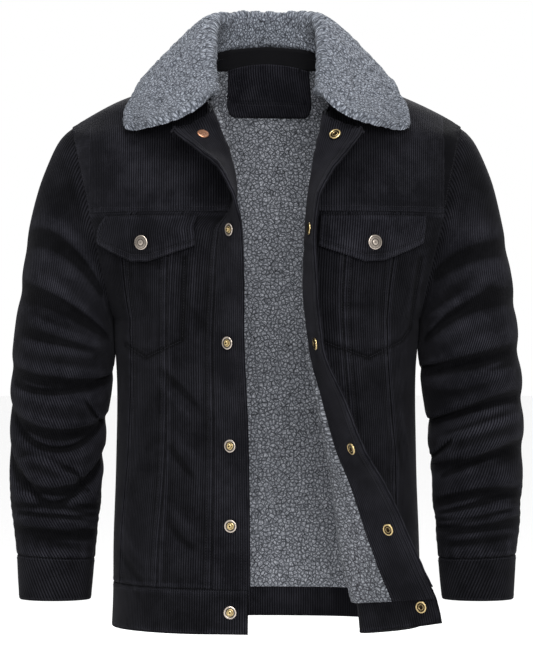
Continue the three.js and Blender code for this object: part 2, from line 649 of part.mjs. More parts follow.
function flapColumns() {
  const { from, to, tip } = FLAP_SHAPE;
  const columns = [0, 0.27, 0.52, 0.76, 1].map((t) => mix(from, tip, t));
  columns.push(...[0.24, 0.48, 0.73, 1].map((t) => mix(tip, to, t)));
  return columns;
}

function addFlap(front, sideName) {
  const options = { span: FLAP_SPAN, mirrored: front.side < 0 };
  const geometry = wall(flapFace(front), flapColumns(), FLAP_ROWS, FLAP, options);
  addPiece(`pocket_flap_${sideName}`, geometry, corduroy);
}

const shareRange = (shares, reach) => shares.filter((share) => Math.abs(share) <= reach);

function addBack() {
  const shares = BACK_COLUMNS.map((column) => column.share);
  const bothSides = [...shares.slice(1).map((share) => -share).reverse(), ...shares];
  const seam = SEAM_GAP / 2 / 265;
  const mirrorOrder = (list) => list.map((share) => -share).reverse();
  const rows = inset([...BODY_ROWS, ...YOKE_ROWS.slice(1)]);
  const face = (share, row) => backFace(-share, row);
  const columns = inset(mirrorOrder(bothSides), seam, seam);
  const options = { span: BACK_SPAN };
  addPiece('back_panel', wall(face, columns, rows, SHELL_WALL, options), corduroy);

  const liningRows = inset([LINING_FOOT, ...BODY_ROWS, ...YOKE_ROWS.slice(1)], 0);
  const liningColumns = inset(columns, seam, seam);
  addPiece('lining_back', wall(face, liningColumns, liningRows, PILE, options), sherpa);

  const bandWall = { outer: 0, inner: -BAND_WALL };
  addPiece('waistband_back', wall(face, columns, inset(BAND_ROWS, 0), bandWall, options), corduroy);

  const tapeColumns = shareRange(bothSides, 0.29);
  addPiece('neck_tape', wall(face, tapeColumns, inset([-57, -28, 0], 0, 1.2), NECK_TRIM, options), twill);
  const patchColumns = shareRange(bothSides, 0.2);
  addPiece('neck_patch', wall(face, patchColumns, [-115, -57.6], NECK_TRIM, options), corduroy);
}

// Sleeves and cuffs.
function addSleeve(sideName, mirrored) {
  const columns = [];
  for (let i = 0; i < SLEEVE_COLUMNS; i += 1) columns.push((-360 * i) / SLEEVE_COLUMNS);
  columns.reverse();
  const down = (face) => (turn, row) => face(-turn, -row);
  const folds = SLEEVE_FOLDS.filter((fold) => ['both', sideName].includes(fold.sleeve));

  const sleeveFace = down(ringFace(SLEEVE, 1, folds));
  const tilt = new THREE.Vector3(
    ARMPIT.z - SHOULDER_TIP.z, 0, SHOULDER_TIP.x - ARMPIT.x,
  ).normalize().multiplyScalar(-0.8);
  const seated = (turn, row) => {
    const point = sleeveFace(turn, row);
    return point.addScaledVector(tilt, clamp(1 + row / 60, 0, 1));
  };
  const rows = SLEEVE_ROWS.map((along) => -along).reverse();
  const around = { lowColumn: -400, highColumn: 400, columnStep: 2 };
  const sleeveSpan = { ...around, lowRow: -SLEEVE_LENGTH, highRow: 0 };
  const sleeveWall = { outer: 0, inner: -SLEEVE_WALL };
  const options = { mirrored, closed: true };
  const sleeve = wall(seated, columns, rows, sleeveWall,
    { ...options, span: sleeveSpan, axis: ringAxis(SLEEVE) });
  addPiece(`sleeve_${sideName}`, sleeve, corduroy);

  const cuffFace = down(ringFace(CUFF, 0, []));
  const cuffSpan = { ...around, lowRow: -56, highRow: 0 };
  const cuffWall = { outer: 0, inner: -CUFF_WALL };
  const cuff = wall(cuffFace, columns, [-56, -28, 0], cuffWall,
    { ...options, span: cuffSpan, axis: ringAxis(CUFF) });
  addPiece(`cuff_${sideName}`, cuff, corduroy);
}

// Collar: one folded sheet, by place round the neck (-1 right end, 1 left end) and share
// of the way from the neck seam over the roll to the outer edge.
function collarFace(place, share) {
  const u = Math.abs(place);
  const side = place < 0 ? -1 : 1;
  const value = (name) => smooth(COLLAR, 'at', name, u);
  const point = (name) =>
    new THREE.Vector3(value(`${name}X`), value(`${name}Y`), value(`${name}Z`));
  const neck = point('neck');
  neck.z += COLLAR_SEAT;
  const roll = point('roll');
  const edge = point('edge');
  const up = roll.clone().sub(neck).normalize();
  const leaf = edge.clone().sub(roll);
  const out = leaf.clone().addScaledVector(up, -leaf.dot(up)).normalize();
  const round = value('round');
  const bezier = (a, b, c, d, t) =>
    a.multiplyScalar((1 - t) ** 3)
      .addScaledVector(b, 3 * t * (1 - t) ** 2)
      .addScaledVector(c, 3 * t * t * (1 - t))
      .addScaledVector(d, t ** 3);
  let result;
  if (share <= COLLAR_STAND) {
    const before = roll.clone().addScaledVector(out, -round * 0.8);
    const rise = neck.clone().lerp(roll, 0.55);
    result = bezier(neck, rise, before, roll, share / COLLAR_STAND);
  } else {
    const after = roll.clone().addScaledVector(out, round * 1.3);
    const low = edge.clone().lerp(roll, 0.45).addScaledVector(out, round * 0.6);
    const t = (share - COLLAR_STAND) / (1 - COLLAR_STAND);
    result = bezier(roll, after, low, edge, t);
    const end = clamp((u - 0.82) / 0.18, 0, 1) ** 2;
    result.z -= COLLAR_END.sag * end * Math.sin(Math.PI * t);
    result.y -= COLLAR_END.forward * end * Math.sin(Math.PI * Math.min(t * 1.15, 1)) ** 0.8;
  }
  result.x *= side;
  return result;
}

function addCollar() {
  const half = [0, 0.125, 0.25, 0.37, 0.5, 0.58, 0.65, 0.725, 0.8, 0.85, 0.9, 0.95, 1];
  const places = [...half.slice(1).map((place) => -place).reverse(), ...half];
  const shares = [0, 0.12, 0.22, 0.3, 0.36, 0.43, 0.52, 0.66, 0.83, 1];
  const span = { lowColumn: -1, highColumn: 1, lowRow: 0, highRow: 1, columnStep: 0.01 };
  const face = (place, row) => collarFace(place, row / 100);
  const rows = shares.map((share) => share * 100);
  const options = { span: { ...span, highRow: 100 } };
  addPiece('collar_top', wall(face, places, rows, COLLAR_TOP, options), sherpa);
  addPiece('collar_under', wall(face, places, rows, COLLAR_UNDER, options), corduroy);
}

// Snap parts: outlines from the axis out and back, radius then height.
const SNAP_PARTS = {
  stud: { metal: silver, outline: [[0, 0], [8, 0], [8, 0.9], [6.6, 1.4], [3.3, 1.4], [2.6, 2.3],
    [3, 3.3], [2.1, 3.9], [0, 3.9]] },
  back: { metal: copper, outline: [[0, 0], [7.5, 0], [7.5, 0.7], [6.3, 1.3], [0, 1.3]] },
  socket: { metal: brass, outline: [[0, 0], [7.5, 0], [7.5, 1.2], [6.2, 2], [3.8, 2], [3.2, 0.8],
    [0, 0.8]] },
  cap: { metal: silver, outline: [[0, 0], [9, 0], [9.3, 0.8], [7.8, 2], [0, 2.3]] },
};

// Cell of a grid line that holds a mark.
function cellOf(marks, mark) {
  const after = marks.findIndex((edge) => edge > mark);
  return clamp(after < 0 ? marks.length : after, 1, marks.length - 1) - 1;
}

// A point of one side of a wall, on the flat facets of its grid.
function facetPoint({ face, span, columns, rows, height }, column, row) {
  const i = cellOf(columns, column);
  const j = cellOf(rows, row);
  const u = (column - columns[i]) / (columns[i + 1] - columns[i]);
  const v = (row - rows[j]) / (rows[j + 1] - rows[j]);
  const corner = (a, b) => {
    const normal = normalOf(face, columns[i + a], rows[j + b], span);
    return face(columns[i + a], rows[j + b]).addScaledVector(normal, height);
  };
  const point = corner(0, 0).multiplyScalar(1 - Math.max(u, v));
  point.addScaledVector(corner(1, 1), Math.min(u, v));
  return point.addScaledVector(u > v ? corner(1, 0) : corner(0, 1), Math.abs(u - v));
}

// A snap part that stands on a wall, just clear of the highest facet under it.
function addSnap(name, part, front, grid, column, row) {
  const { metal, outline } = SNAP_PARTS[part];
  const profile = outline.map(([radius, up]) => new THREE.Vector2(radius, up));
  const mesh = addPiece(name, new THREE.LatheGeometry(profile, SNAP_SIDES), metal);
  const away = normalOf(grid.face, column, row, grid.span).multiplyScalar(grid.inside ? -1 : 1);
  const point = facetPoint(grid, column, row);
  const radius = outline[1][0];
  let lift = 0;
  for (let i = 0; i < 16; i += 1) {
    const turn = (i / 8) * Math.PI;
    const reach = i % 2 ? radius : radius * 0.6;
    const under = facetPoint(
      grid, column + reach * Math.cos(turn), row + reach * Math.sin(turn) * grid.rowPerMm,
    );
    lift = Math.max(lift, under.sub(point).dot(away));
  }
  point.addScaledVector(away, lift + SEAM_GAP);
  point.x *= front.side;
  away.x *= front.side;
  mesh.quaternion.setFromUnitVectors(new THREE.Vector3(0, 1, 0), away);
  mesh.position.copy(point);
}

// Row of the front's grid at a height, near the free edge.
function edgeRow(mark, z) {
  if (z <= YOKE_Z) return z;
  const rise = (z - YOKE_Z) / (smooth(TOP_EDGE, 'mark', 'z', mark) - YOKE_Z);
  return YOKE_Z * (1 - Math.asin(rise) / (Math.PI / 2));
}

function addSnaps() {
  const rows = [...BAND_ROWS, ...BODY_ROWS.slice(1), ...YOKE_ROWS.slice(1)];
  const columns = [...PLACKET_MARKS, FACING_WIDTH];
  const gridOf = (front, height, rowPerMm) => ({
    face: frontFace(front), span: FRONT_SPAN, columns, rows, height, inside: height < 0, rowPerMm,
  });
  SNAP_LEVELS.forEach((z, i) => {
    const mark = i === 0 ? TOP_SNAP_FROM_EDGE : SNAP_FROM_EDGE;
    const row = edgeRow(mark, z);
    const perMm = (edgeRow(mark, z + 1) - edgeRow(mark, z - 1)) / 2;
    const depth = z < LINING_FOOT ? -BAND_WALL : FACING.inner;
    addSnap(`snap_stud_${i + 1}`, 'stud', RIGHT_FRONT, gridOf(RIGHT_FRONT, 0, perMm), mark, row);
    addSnap(`snap_back_${i + 1}`, 'back', RIGHT_FRONT, gridOf(RIGHT_FRONT, depth, perMm), mark, row);
    addSnap(`snap_socket_${i + 1}`, 'socket', LEFT_FRONT, gridOf(LEFT_FRONT, depth, perMm), mark, row);
    addSnap(`snap_cap_${i + 1}`, 'cap', LEFT_FRONT, gridOf(LEFT_FRONT, 0, perMm), mark, row);
  });
  const flapHeight = FLAP_SHAPE.top - FLAP_SHAPE.tipZ;
  const drop = (-100 * (FLAP_SHAPE.top - FLAP_SNAP_Z)) / flapHeight;
  for (const [front, sideName] of [[LEFT_FRONT, 'left'], [RIGHT_FRONT, 'right']]) {
    const grid = {
      face: flapFace(front), span: FLAP_SPAN, columns: flapColumns(), rows: FLAP_ROWS,
      height: FLAP.outer, inside: false, rowPerMm: 100 / flapHeight,
    };
    addSnap(`flap_snap_${sideName}`, 'cap', front, grid, FLAP_SHAPE.tip, drop);
  }
}

addFront(LEFT_FRONT, 'left');
addFront(RIGHT_FRONT, 'right');
addBack();
addSleeve('left', false);
addSleeve('right', true);
addCollar();
addSnaps();

export default jacket;
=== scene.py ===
"""A corduroy jacket with a sherpa lining, worn open and filled out with no wearer.

Sizes are in millimetres until a mesh is made. Front faces -Y, the wearer's left is +X, and the
origin lies between the shoulders at the high points of the shoulder seams.
"""

import math

import bmesh
import bpy
import numpy as np
from mathutils import Matrix, Vector


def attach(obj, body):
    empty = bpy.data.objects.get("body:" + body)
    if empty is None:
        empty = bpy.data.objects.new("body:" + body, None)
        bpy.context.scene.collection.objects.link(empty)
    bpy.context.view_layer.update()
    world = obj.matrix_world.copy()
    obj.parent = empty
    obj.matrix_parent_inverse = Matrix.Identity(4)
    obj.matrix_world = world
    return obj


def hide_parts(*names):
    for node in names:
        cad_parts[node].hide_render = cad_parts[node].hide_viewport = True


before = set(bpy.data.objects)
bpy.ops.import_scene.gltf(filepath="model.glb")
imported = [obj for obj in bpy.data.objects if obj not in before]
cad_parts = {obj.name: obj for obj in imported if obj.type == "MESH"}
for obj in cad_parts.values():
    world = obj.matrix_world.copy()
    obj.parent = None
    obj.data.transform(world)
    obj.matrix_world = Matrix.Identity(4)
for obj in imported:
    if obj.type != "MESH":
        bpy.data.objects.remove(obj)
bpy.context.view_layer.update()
MM = 0.001

# Front panels
# Cotton corduroy, cut in a centre, a middle and a side panel that close towards the waist, and
# joined by felled seams with two rows of stitches. The wales run up and down.
YOKE_Z = -195.0
BAND_Z = -651.0
HEM_Z = -706.0
SHELL = 2.0
ARMPIT = (190.0, -325.0)
SHOULDER_TIP = (243.0, 8.0, -84.0)
ARMHOLE_HALF_DEPTH = 64.0
NECK_HALF = 82.0
NECK_DEPTH = 72.0
NECK_RISE = 19.0
NECK_SLOPE = 0.45
BODY_ROUND = 2.4
PLACKET_WIDTH = 45.0
INNER_SEAM_MARK = 108.0
OUTER_SEAM_MARK = 172.0
SIDE_MARK = 272.0
CURVE_STEPS = 60
BEND_STEPS = 16


def table(names, *rows):
    """A size table, as one array of numbers for each named column."""
    return dict(zip(names.split(), np.array(rows, float).T))


BODY = table(
    "z half_width front back",
    (-706, 193, 138, 128), (-560, 189, 136, 120), (-450, 186, 137, 120), (-389, 187, 138, 124),
    (-325, 190, 139, 129), (-250, 190, 140, 134), (-195, 190, 136, 132.7),
)
SHOULDER = table(
    "x z", (82, 0), (120, -22), (156, -41), (180, -50), (204, -61), (230, -75), (243, -84)
)
LEFT_EDGE = table(
    "z roll turn reach radius",
    (-706, 122, 147, 134, 14), (-673, 119, 147, 131, 14), (-623, 108, 146, 125, 14),
    (-575, 101, 142, 116, 14), (-523, 95, 132, 106, 14), (-477, 87, 122, 94, 14),
    (-420, 77, 115, 86, 14), (-353, 65, 105, 78, 14), (-287, 60, 105, 76, 14),
    (-217, 62, 100, 74, 13), (-181, 64, 101, 72, 12), (-150, 68, 112, 71, 11),
    (-121, 72, 138, 70, 11), (-94, 77, 164, 68, 10.5), (-60, 82, 171, 70, 10.5),
)
RIGHT_EDGE = table(
    "z roll turn reach radius",
    (-706, 88, 6, 66, 30), (-575, 85, 19, 66, 30), (-477, 82, 30, 66, 30), (-353, 83, 37, 66, 28),
    (-285, 81, 42, 67, 24), (-217, 75, 55, 68, 18), (-195, 60, 78, 69, 14),
    (-170, 50, 96, 70, 12), (-145, 53, 106, 71, 11), (-121, 58, 132, 71, 10),
    (-94, 66, 168, 73, 9), (-60, 78, 172, 73, 9),
)
LONG_SEAMS = table(
    "z inner outer", (-706, 120, 200), (-651, 118, 196), (-353, 108, 172), (-195, 110, 178)
)
TOP_EDGE = table(
    "mark start z", (0, 0, -97), (15, 15, -93), (30, 30, -88), (45, 45, -81), (58, 58, -71),
    (70, 70, -58), (82, 70, -38), (95, 70, -18), (108, 70, 0),
)
FRONTS = {
    "left": {"side": 1, "lift": 20.0, "flap_lean": 0.0, "edge": LEFT_EDGE},
    "right": {"side": -1, "lift": 0.0, "flap_lean": 14.0, "edge": RIGHT_EDGE},
}


def smooth(sizes, key, name, at):
    """The smooth value of a table's column where its key column has this value."""
    keys, values = sizes[key], sizes[name]
    run = np.diff(keys)
    rise = np.diff(values) / run
    before, after = rise[:-1], rise[1:]
    same = before * after > 0
    inner = np.where(same, 2 * before * after / np.where(same, before + after, 1), 0)
    slope = np.concatenate([rise[:1], inner, rise[-1:]])
    at = np.clip(np.asarray(at, float), keys[0], keys[-1])
    i = np.clip(np.searchsorted(keys, at, side="right") - 1, 0, len(keys) - 2)
    t = (at - keys[i]) / run[i]
    ends = values[i] * (1 + 2 * t) * (1 - t) ** 2 + values[i + 1] * t * t * (3 - 2 * t)
    return ends + run[i] * t * (1 - t) * (slope[i] * (1 - t) - slope[i + 1] * t)


def mix(a, b, t):
    return a + (b - a) * t


def armhole(z, face):
    """x and y of the armhole's edge at a height; face is -1 on the front and 1 on the back."""
    h = np.clip((z - ARMPIT[1]) / (SHOULDER_TIP[2] - ARMPIT[1]), 0, 1)
    half_depth = ARMHOLE_HALF_DEPTH * 2 * np.sqrt(h * (1 - h))
    return mix(ARMPIT[0], SHOULDER_TIP[0], h), face * half_depth + SHOULDER_TIP[1] * h


def shoulder_z(x):
    return np.where(x < NECK_HALF, (NECK_HALF - x) * NECK_SLOPE, smooth(SHOULDER, "x", "z", x))


def shoulder_x(z):
    """Where the shoulder line has this height."""
    low, high = np.full(np.shape(z), NECK_HALF), np.full(np.shape(z), SHOULDER_TIP[0])
    for _ in range(40):
        middle = (low + high) / 2
        above = shoulder_z(middle) > z
        low, high = np.where(above, middle, low), np.where(above, high, middle)
    return (low + high) / 2


def depth_at(z, face):
    return smooth(BODY, "z", "front" if face < 0 else "back", z)


def section_width(z, face):
    """Half width of the rounded body section through the armhole at this height."""
    x, y = armhole(z, face)
    through = x / np.maximum(1 - (y / depth_at(z, face)) ** 2, 1e-6) ** (1 / BODY_ROUND)
    return np.where(z <= ARMPIT[1], smooth(BODY, "z", "half_width", z), through)


def section_depth(x, z, face):
    flat = 1 - (np.abs(x) / section_width(z, face)) ** BODY_ROUND
    return depth_at(z, face) * np.sqrt(np.maximum(flat, 0))


def rise_y(x, rise):
    """y of the front above the yoke seam; rise goes from 0 there to 1 at the top edge."""
    low = section_depth(x, YOKE_Z, -1)
    return SHOULDER_TIP[1] - (SHOULDER_TIP[1] + low) * np.sqrt(np.maximum(1 - rise * rise, 0))


def upper_front_y(x, z):
    return rise_y(x, np.clip((z - YOKE_Z) / (shoulder_z(x) - YOKE_Z), 0, 1))


def body_curve(z, roll):
    """Level sections from the side to the roll, as heights by steps by x and y."""
    steps = np.linspace(0, 1, CURVE_STEPS + 1)
    depth, width = depth_at(z, -1), section_width(z, -1)
    side_y = armhole(z, -1)[1]
    start = np.where(z > ARMPIT[1], np.arcsin(np.clip(-side_y / depth, 0, 1)), 0)
    end = np.arccos(np.clip(roll / width, 0, 1) ** (BODY_ROUND / 2))
    turn = mix(start[:, None], end[:, None], steps)
    round_x = width[:, None] * np.maximum(np.cos(turn), 0) ** (2 / BODY_ROUND)
    lower = np.stack([round_x, -depth[:, None] * np.sin(turn)], -1)
    below_tip = z < SHOULDER_TIP[2]
    outside = np.where(below_tip, armhole(z, -1)[0], shoulder_x(z))
    miss = np.where(below_tip, side_y - upper_front_y(outside, z), 0)
    w = steps**2
    x = outside[:, None] - np.maximum(outside - roll, 0.5)[:, None] * w
    y = upper_front_y(x, z[:, None]) + miss[:, None] * (1 - w) ** 3
    return np.where((z <= YOKE_Z)[:, None, None], lower, np.stack([x, y], -1))


def front_sections(front, z):
    """Level sections of a front out to its free edge, their lengths, and how far the edge reaches."""
    edge = front["edge"]
    roll = smooth(edge, "z", "roll", z)
    roll = np.where(z > -60, mix(roll, NECK_HALF, (z + 60) / 60), roll)
    limit = shoulder_x(np.maximum(z, SHOULDER_TIP[2])) - 0.4
    curve = body_curve(z, np.minimum(roll, limit))
    last = curve[:, -1] - curve[:, -3]
    heading = np.arctan2(last[:, 1], last[:, 0]) % (2 * np.pi)
    goal = np.pi + np.radians(smooth(edge, "z", "turn", z))
    reach = smooth(edge, "z", "reach", z)
    bend = np.minimum(smooth(edge, "z", "radius", z) * np.abs(goal - heading), reach * 0.95)
    share = (np.arange(BEND_STEPS) + 0.5) / BEND_STEPS
    middle = heading[:, None] + (goal - heading)[:, None] * share
    step = (bend / BEND_STEPS)[:, None, None]
    bent = np.cumsum(step * np.stack([np.cos(middle), np.sin(middle)], -1), axis=1)
    straight = (reach - bend)[:, None] * np.stack([np.cos(goal), np.sin(goal)], -1)
    bent = curve[:, -1:] + bent
    points = np.concatenate([curve, bent, bent[:, -1:] + straight[:, None]], axis=1)
    gaps = np.linalg.norm(np.diff(points, axis=1), axis=-1)
    lengths = np.concatenate([np.zeros((len(z), 1)), np.cumsum(gaps, axis=1)], axis=1)
    return points, lengths, reach


def front_at(front, z, from_edge):
    """Points of a front at these heights, this far along the cloth from its free edge."""
    z, from_edge = np.broadcast_arrays(np.asarray(z, float), np.asarray(from_edge, float))
    levels, which = np.unique(np.round(z.ravel(), 2), return_inverse=True)
    points, lengths, reach = front_sections(front, levels)
    total = lengths[which, -1]
    wanted = np.clip(total - from_edge.ravel(), 0, total)
    i = np.minimum((lengths[which] < wanted[:, None]).sum(1) - 1, lengths.shape[1] - 2)
    i = np.maximum(i, 0)
    low, high = lengths[which, i], lengths[which, i + 1]
    t = np.clip((wanted - low) / (high - low), 0, 1)[:, None]
    flat = mix(points[which, i], points[which, i + 1], t)
    below = np.clip((-575 - z.ravel()) / 131, 0, 1) ** 1.5
    out = np.clip(1 - from_edge.ravel() / reach[which], 0, 1) ** 1.2
    up = z.ravel() + front["lift"] * below * out
    return np.column_stack([flat, up]).reshape(z.shape + (3,))


def from_edge_at(front, mark, z):
    """Distance from the free edge of a mark across the front, at or below the yoke seam."""
    inner = smooth(LONG_SEAMS, "z", "inner", z)
    outer = smooth(LONG_SEAMS, "z", "outer", z)
    levels, which = np.unique(np.ravel(z), return_inverse=True)
    total = front_sections(front, levels)[1][which, -1].reshape(np.shape(z))
    centre = (mark - PLACKET_WIDTH) / (INNER_SEAM_MARK - PLACKET_WIDTH)
    middle = (mark - INNER_SEAM_MARK) / (OUTER_SEAM_MARK - INNER_SEAM_MARK)
    side = (mark - OUTER_SEAM_MARK) / (SIDE_MARK - OUTER_SEAM_MARK)
    return np.where(
        mark <= PLACKET_WIDTH,
        mark,
        np.where(
            mark <= INNER_SEAM_MARK,
            mix(PLACKET_WIDTH, inner, centre),
            np.where(mark <= OUTER_SEAM_MARK, mix(inner, outer, middle), mix(outer, total, side)),
        ),
    )


def front_face(front, mark, row):
    """The outer face of a front, by mark across and row up."""
    mark, row = np.broadcast_arrays(np.asarray(mark, float), np.asarray(row, float))
    low_row = np.minimum(row, YOKE_Z)
    panel = front_at(front, low_row, from_edge_at(front, mark, low_row))
    if row.max() <= YOKE_Z:
        return panel
    rise = np.sin(np.clip((row - YOKE_Z) / -YOKE_Z, 0, 1) * np.pi / 2)
    seam_mark = np.minimum(mark, INNER_SEAM_MARK)
    top_z = smooth(TOP_EDGE, "mark", "z", seam_mark)
    top_from = smooth(TOP_EDGE, "mark", "start", seam_mark)
    yoke = np.full(mark.shape, YOKE_Z)
    low_from = from_edge_at(front, seam_mark, yoke)
    near = front_at(front, mix(YOKE_Z, top_z, rise), mix(low_from, top_from, rise))
    share = (mark - INNER_SEAM_MARK) / (SIDE_MARK - INNER_SEAM_MARK)
    low_x = front_at(front, yoke, from_edge_at(front, mark, yoke))[..., 0]
    seam_x = front_at(front, yoke, low_from)[..., 0]
    top_x = mix(NECK_HALF, SHOULDER_TIP[0], share)
    drift = (near[..., 0] - mix(seam_x, NECK_HALF, rise)) * (1 - rise**6)
    x = mix(low_x, top_x, rise) + drift * (1 - share)
    z = mix(YOKE_Z, shoulder_z(top_x), rise)
    below_tip = z < SHOULDER_TIP[2]
    outside = np.where(below_tip, armhole(z, -1)[0], x)
    miss = np.where(below_tip, armhole(z, -1)[1] - upper_front_y(outside, z), 0)
    roll = smooth(front["edge"], "z", "roll", z)
    reach_out = np.clip((x - roll) / np.maximum(outside - roll, 1), 0, 1)
    y = mix(upper_front_y(x, z), rise_y(x, rise), rise**6) + miss * reach_out**3
    far = np.stack([x, y, z], -1)
    above = np.where((mark < INNER_SEAM_MARK)[..., None], near, far)
    return np.where((row <= YOKE_Z)[..., None], panel, above)


def spread(low, high, step, fine=1.3, band=9.0):
    """Grid lines from low to high, step apart, and closer together in a band at each end."""
    ends = np.arange(0, band, fine)
    count = max(2, round((high - low - 2 * band) / step) + 1)
    middle = np.linspace(low + band, high - band, count)
    return np.concatenate([low + ends, middle, (high - ends)[::-1]])


def normals(points):
    """Outward normals of a grid of points, as columns crossed with rows."""
    across = np.gradient(points, axis=1)
    up = np.gradient(points, axis=0)
    made = np.cross(across, up)
    return made / np.maximum(np.linalg.norm(made, axis=-1, keepdims=True), 1e-9)


def lengths_of(points):
    """Lengths along the cloth of a grid: across from its first column, and up from its first row."""
    across = np.linalg.norm(np.diff(points, axis=1), axis=-1).cumsum(1)
    up = np.linalg.norm(np.diff(points, axis=0), axis=-1).cumsum(0)
    return np.pad(across, ((0, 0), (1, 0))), np.pad(up, ((1, 0), (0, 0)))


def linear(code):
    """A colour given as sRGB hex, as linear red, green, blue and alpha."""
    parts = [int(code[i : i + 2], 16) / 255 for i in (1, 3, 5)]
    return [c / 12.92 if c <= 0.04045 else ((c + 0.055) / 1.055) ** 2.4 for c in parts] + [1.0]


def add_node(material, kind, sockets, **settings):
    """Adds a node with its settings, and sets or links its sockets."""
    made = material.node_tree.nodes.new(kind)
    for name, value in settings.items():
        setattr(made, name, value)
    for socket, value in sockets.items():
        if isinstance(value, bpy.types.NodeSocket):
            material.node_tree.links.new(value, made.inputs[socket])
        else:
            made.inputs[socket].default_value = value
    return made


def new_material(name):
    """A material with an empty tree, and its output node."""
    made = bpy.data.materials.new(name)
    made.use_nodes = True
    made.node_tree.nodes.clear()
    return made, made.node_tree.nodes.new("ShaderNodeOutputMaterial")


def ramp(material, factor, stops):
    """A colour ramp, from pairs of position and sRGB hex."""
    made = add_node(material, "ShaderNodeValToRGB", {0: factor})
    elements = made.color_ramp.elements
    for position, code in stops[1:-1]:
        elements.new(position)
    for element, (position, code) in zip(elements, stops):
        element.position = position
        element.color = linear(code)
    return made.outputs[0]


# Wale pitch: the real cloth has one wale in about 2.8 mm. It is drawn at 3.1 mm, because a finer
# one would not show at the size of the picture.
WALE_PITCH = 3.1


def corduroy(name, furrow_shade, wale, worn, sheen=0.02):
    """Cut-pile cotton corduroy: matt black rows of pile with a soft nap; the furrows are darkened as painted
    shade.
    """
    made, output = new_material(name)
    place = add_node(made, "ShaderNodeUVMap", {}, uv_map="cloth").outputs[0]
    drift = add_node(made, "ShaderNodeTexNoise", {"Vector": place, "Scale": 60.0, "Detail": 2.0})
    shift = add_node(made, "ShaderNodeMath", {0: drift.outputs[0], 1: 1.6}, operation="MULTIPLY")
    parts = add_node(made, "ShaderNodeSeparateXYZ", {0: place})
    turns = 2 * math.pi / (WALE_PITCH * MM)
    angle = add_node(
        made, "ShaderNodeMath", {0: parts.outputs[0], 1: turns, 2: shift.outputs[0]}, operation="MULTIPLY_ADD"
    )
    wave = add_node(made, "ShaderNodeMath", {0: angle.outputs[0]}, operation="SINE")
    ridge = add_node(
        made, "ShaderNodeMapRange", {0: wave.outputs[0], 1: -1.0, 2: 1.0, 3: 0.0, 4: 1.0}
    ).outputs[0]
    here = add_node(made, "ShaderNodeTexCoord", {}).outputs["Object"]
    fibre = add_node(
        made, "ShaderNodeTexNoise", {"Vector": place, "Scale": 900.0, "Detail": 3.0, "Roughness": 0.7}
    ).outputs[0]
    nap = add_node(
        made, "ShaderNodeTexNoise", {"Vector": here, "Scale": 16.0, "Detail": 6.0, "Roughness": 0.76}
    ).outputs[0]
    grain = add_node(made, "ShaderNodeMath", {0: ridge, 1: 0.5}, operation="MULTIPLY").outputs[0]
    level = add_node(made, "ShaderNodeMath", {0: fibre, 1: 0.8, 2: grain}, operation="MULTIPLY_ADD")
    # The furrows between the wales get a near-black colour: painted shade.
    base = ramp(made, level.outputs[0], [(0.42, furrow_shade), (0.94, wale)])
    patch = add_node(made, "ShaderNodeMapRange", {0: nap, 1: 0.4, 2: 0.64, 3: 0.0, 4: 0.95}).outputs[0]
    rubbed = add_node(made, "ShaderNodeMath", {0: patch, 1: ridge}, operation="MULTIPLY").outputs[0]
    colour = add_node(
        made, "ShaderNodeMix", {0: rubbed, 6: base, 7: linear(worn)}, data_type="RGBA"
    ).outputs[2]
    # An attribute scales the colour: lighter where the nap is rubbed, and darker or lighter elsewhere as
    # painted shade and painted light.
    wear_and_painted_light = add_node(made, "ShaderNodeAttribute", {}, attribute_name="wear_and_painted_light").outputs["Fac"]
    wear_and_light_scale = add_node(made, "ShaderNodeMapRange", {0: wear_and_painted_light, 1: -1.0, 2: 1.0, 3: 0.3, 4: 1.7}).outputs[0]
    colour = add_node(made, "ShaderNodeVectorMath", {0: colour, "Scale": wear_and_light_scale}, operation="SCALE").outputs[0]
    height = add_node(made, "ShaderNodeMath", {0: fibre, 1: 0.5, 2: ridge}, operation="MULTIPLY_ADD")
    bump = add_node(
        made, "ShaderNodeBump", {"Strength": 0.5, "Distance": 0.6 * MM, "Height": height.outputs[0]}
    )
    shader = add_node(
        made,
        "ShaderNodeBsdfPrincipled",
        {
            "Base Color": colour,
            "Roughness": 0.95,
            "Specular IOR Level": 0.03,
            "Sheen Weight": sheen,
            "Sheen Roughness": 0.5,
            "Sheen Tint": linear("#a3a3ad"),
            "Normal": bump.outputs[0],
        },
    )
    made.node_tree.links.new(shader.outputs[0], output.inputs[0])
    return made


BLACK_CORDUROY = corduroy("black_cotton_corduroy", "#010102", "#0c0c0f", "#19191d")


def add_mesh(name, points, flat, material, closed=False, values=None):
    """A piece from a grid of points in mm, with its lengths across and up as the cloth's UV."""
    rows, columns = points.shape[:2]
    grid = bmesh.new()
    bmesh.ops.create_grid(grid, x_segments=columns - 1, y_segments=rows - 1, size=1)
    mesh = bpy.data.meshes.new(name)
    grid.to_mesh(mesh)
    grid.free()
    mesh.vertices.foreach_set("co", (points * MM).astype(np.float32).ravel())
    corner = np.empty(len(mesh.loops), np.int32)
    mesh.loops.foreach_get("vertex_index", corner)
    layer = mesh.uv_layers.new(name="cloth")
    uv = (np.stack(flat, -1).reshape(-1, 2) * MM)[corner]
    layer.data.foreach_set("uv", uv.astype(np.float32).ravel())
    for key, numbers in (values or {}).items():
        attribute = mesh.attributes.new(key, "FLOAT", "POINT")
        attribute.data.foreach_set("value", numbers.astype(np.float32).ravel())
    if closed:
        tube = bmesh.new()
        tube.from_mesh(mesh)
        bmesh.ops.remove_doubles(tube, verts=tube.verts, dist=1e-5)
        tube.to_mesh(mesh)
        tube.free()
    mesh.polygons.foreach_set("use_smooth", np.ones(len(mesh.polygons), bool))
    mesh.materials.append(material)
    made = bpy.data.objects.new(name, mesh)
    bpy.context.scene.collection.objects.link(made)
    return made


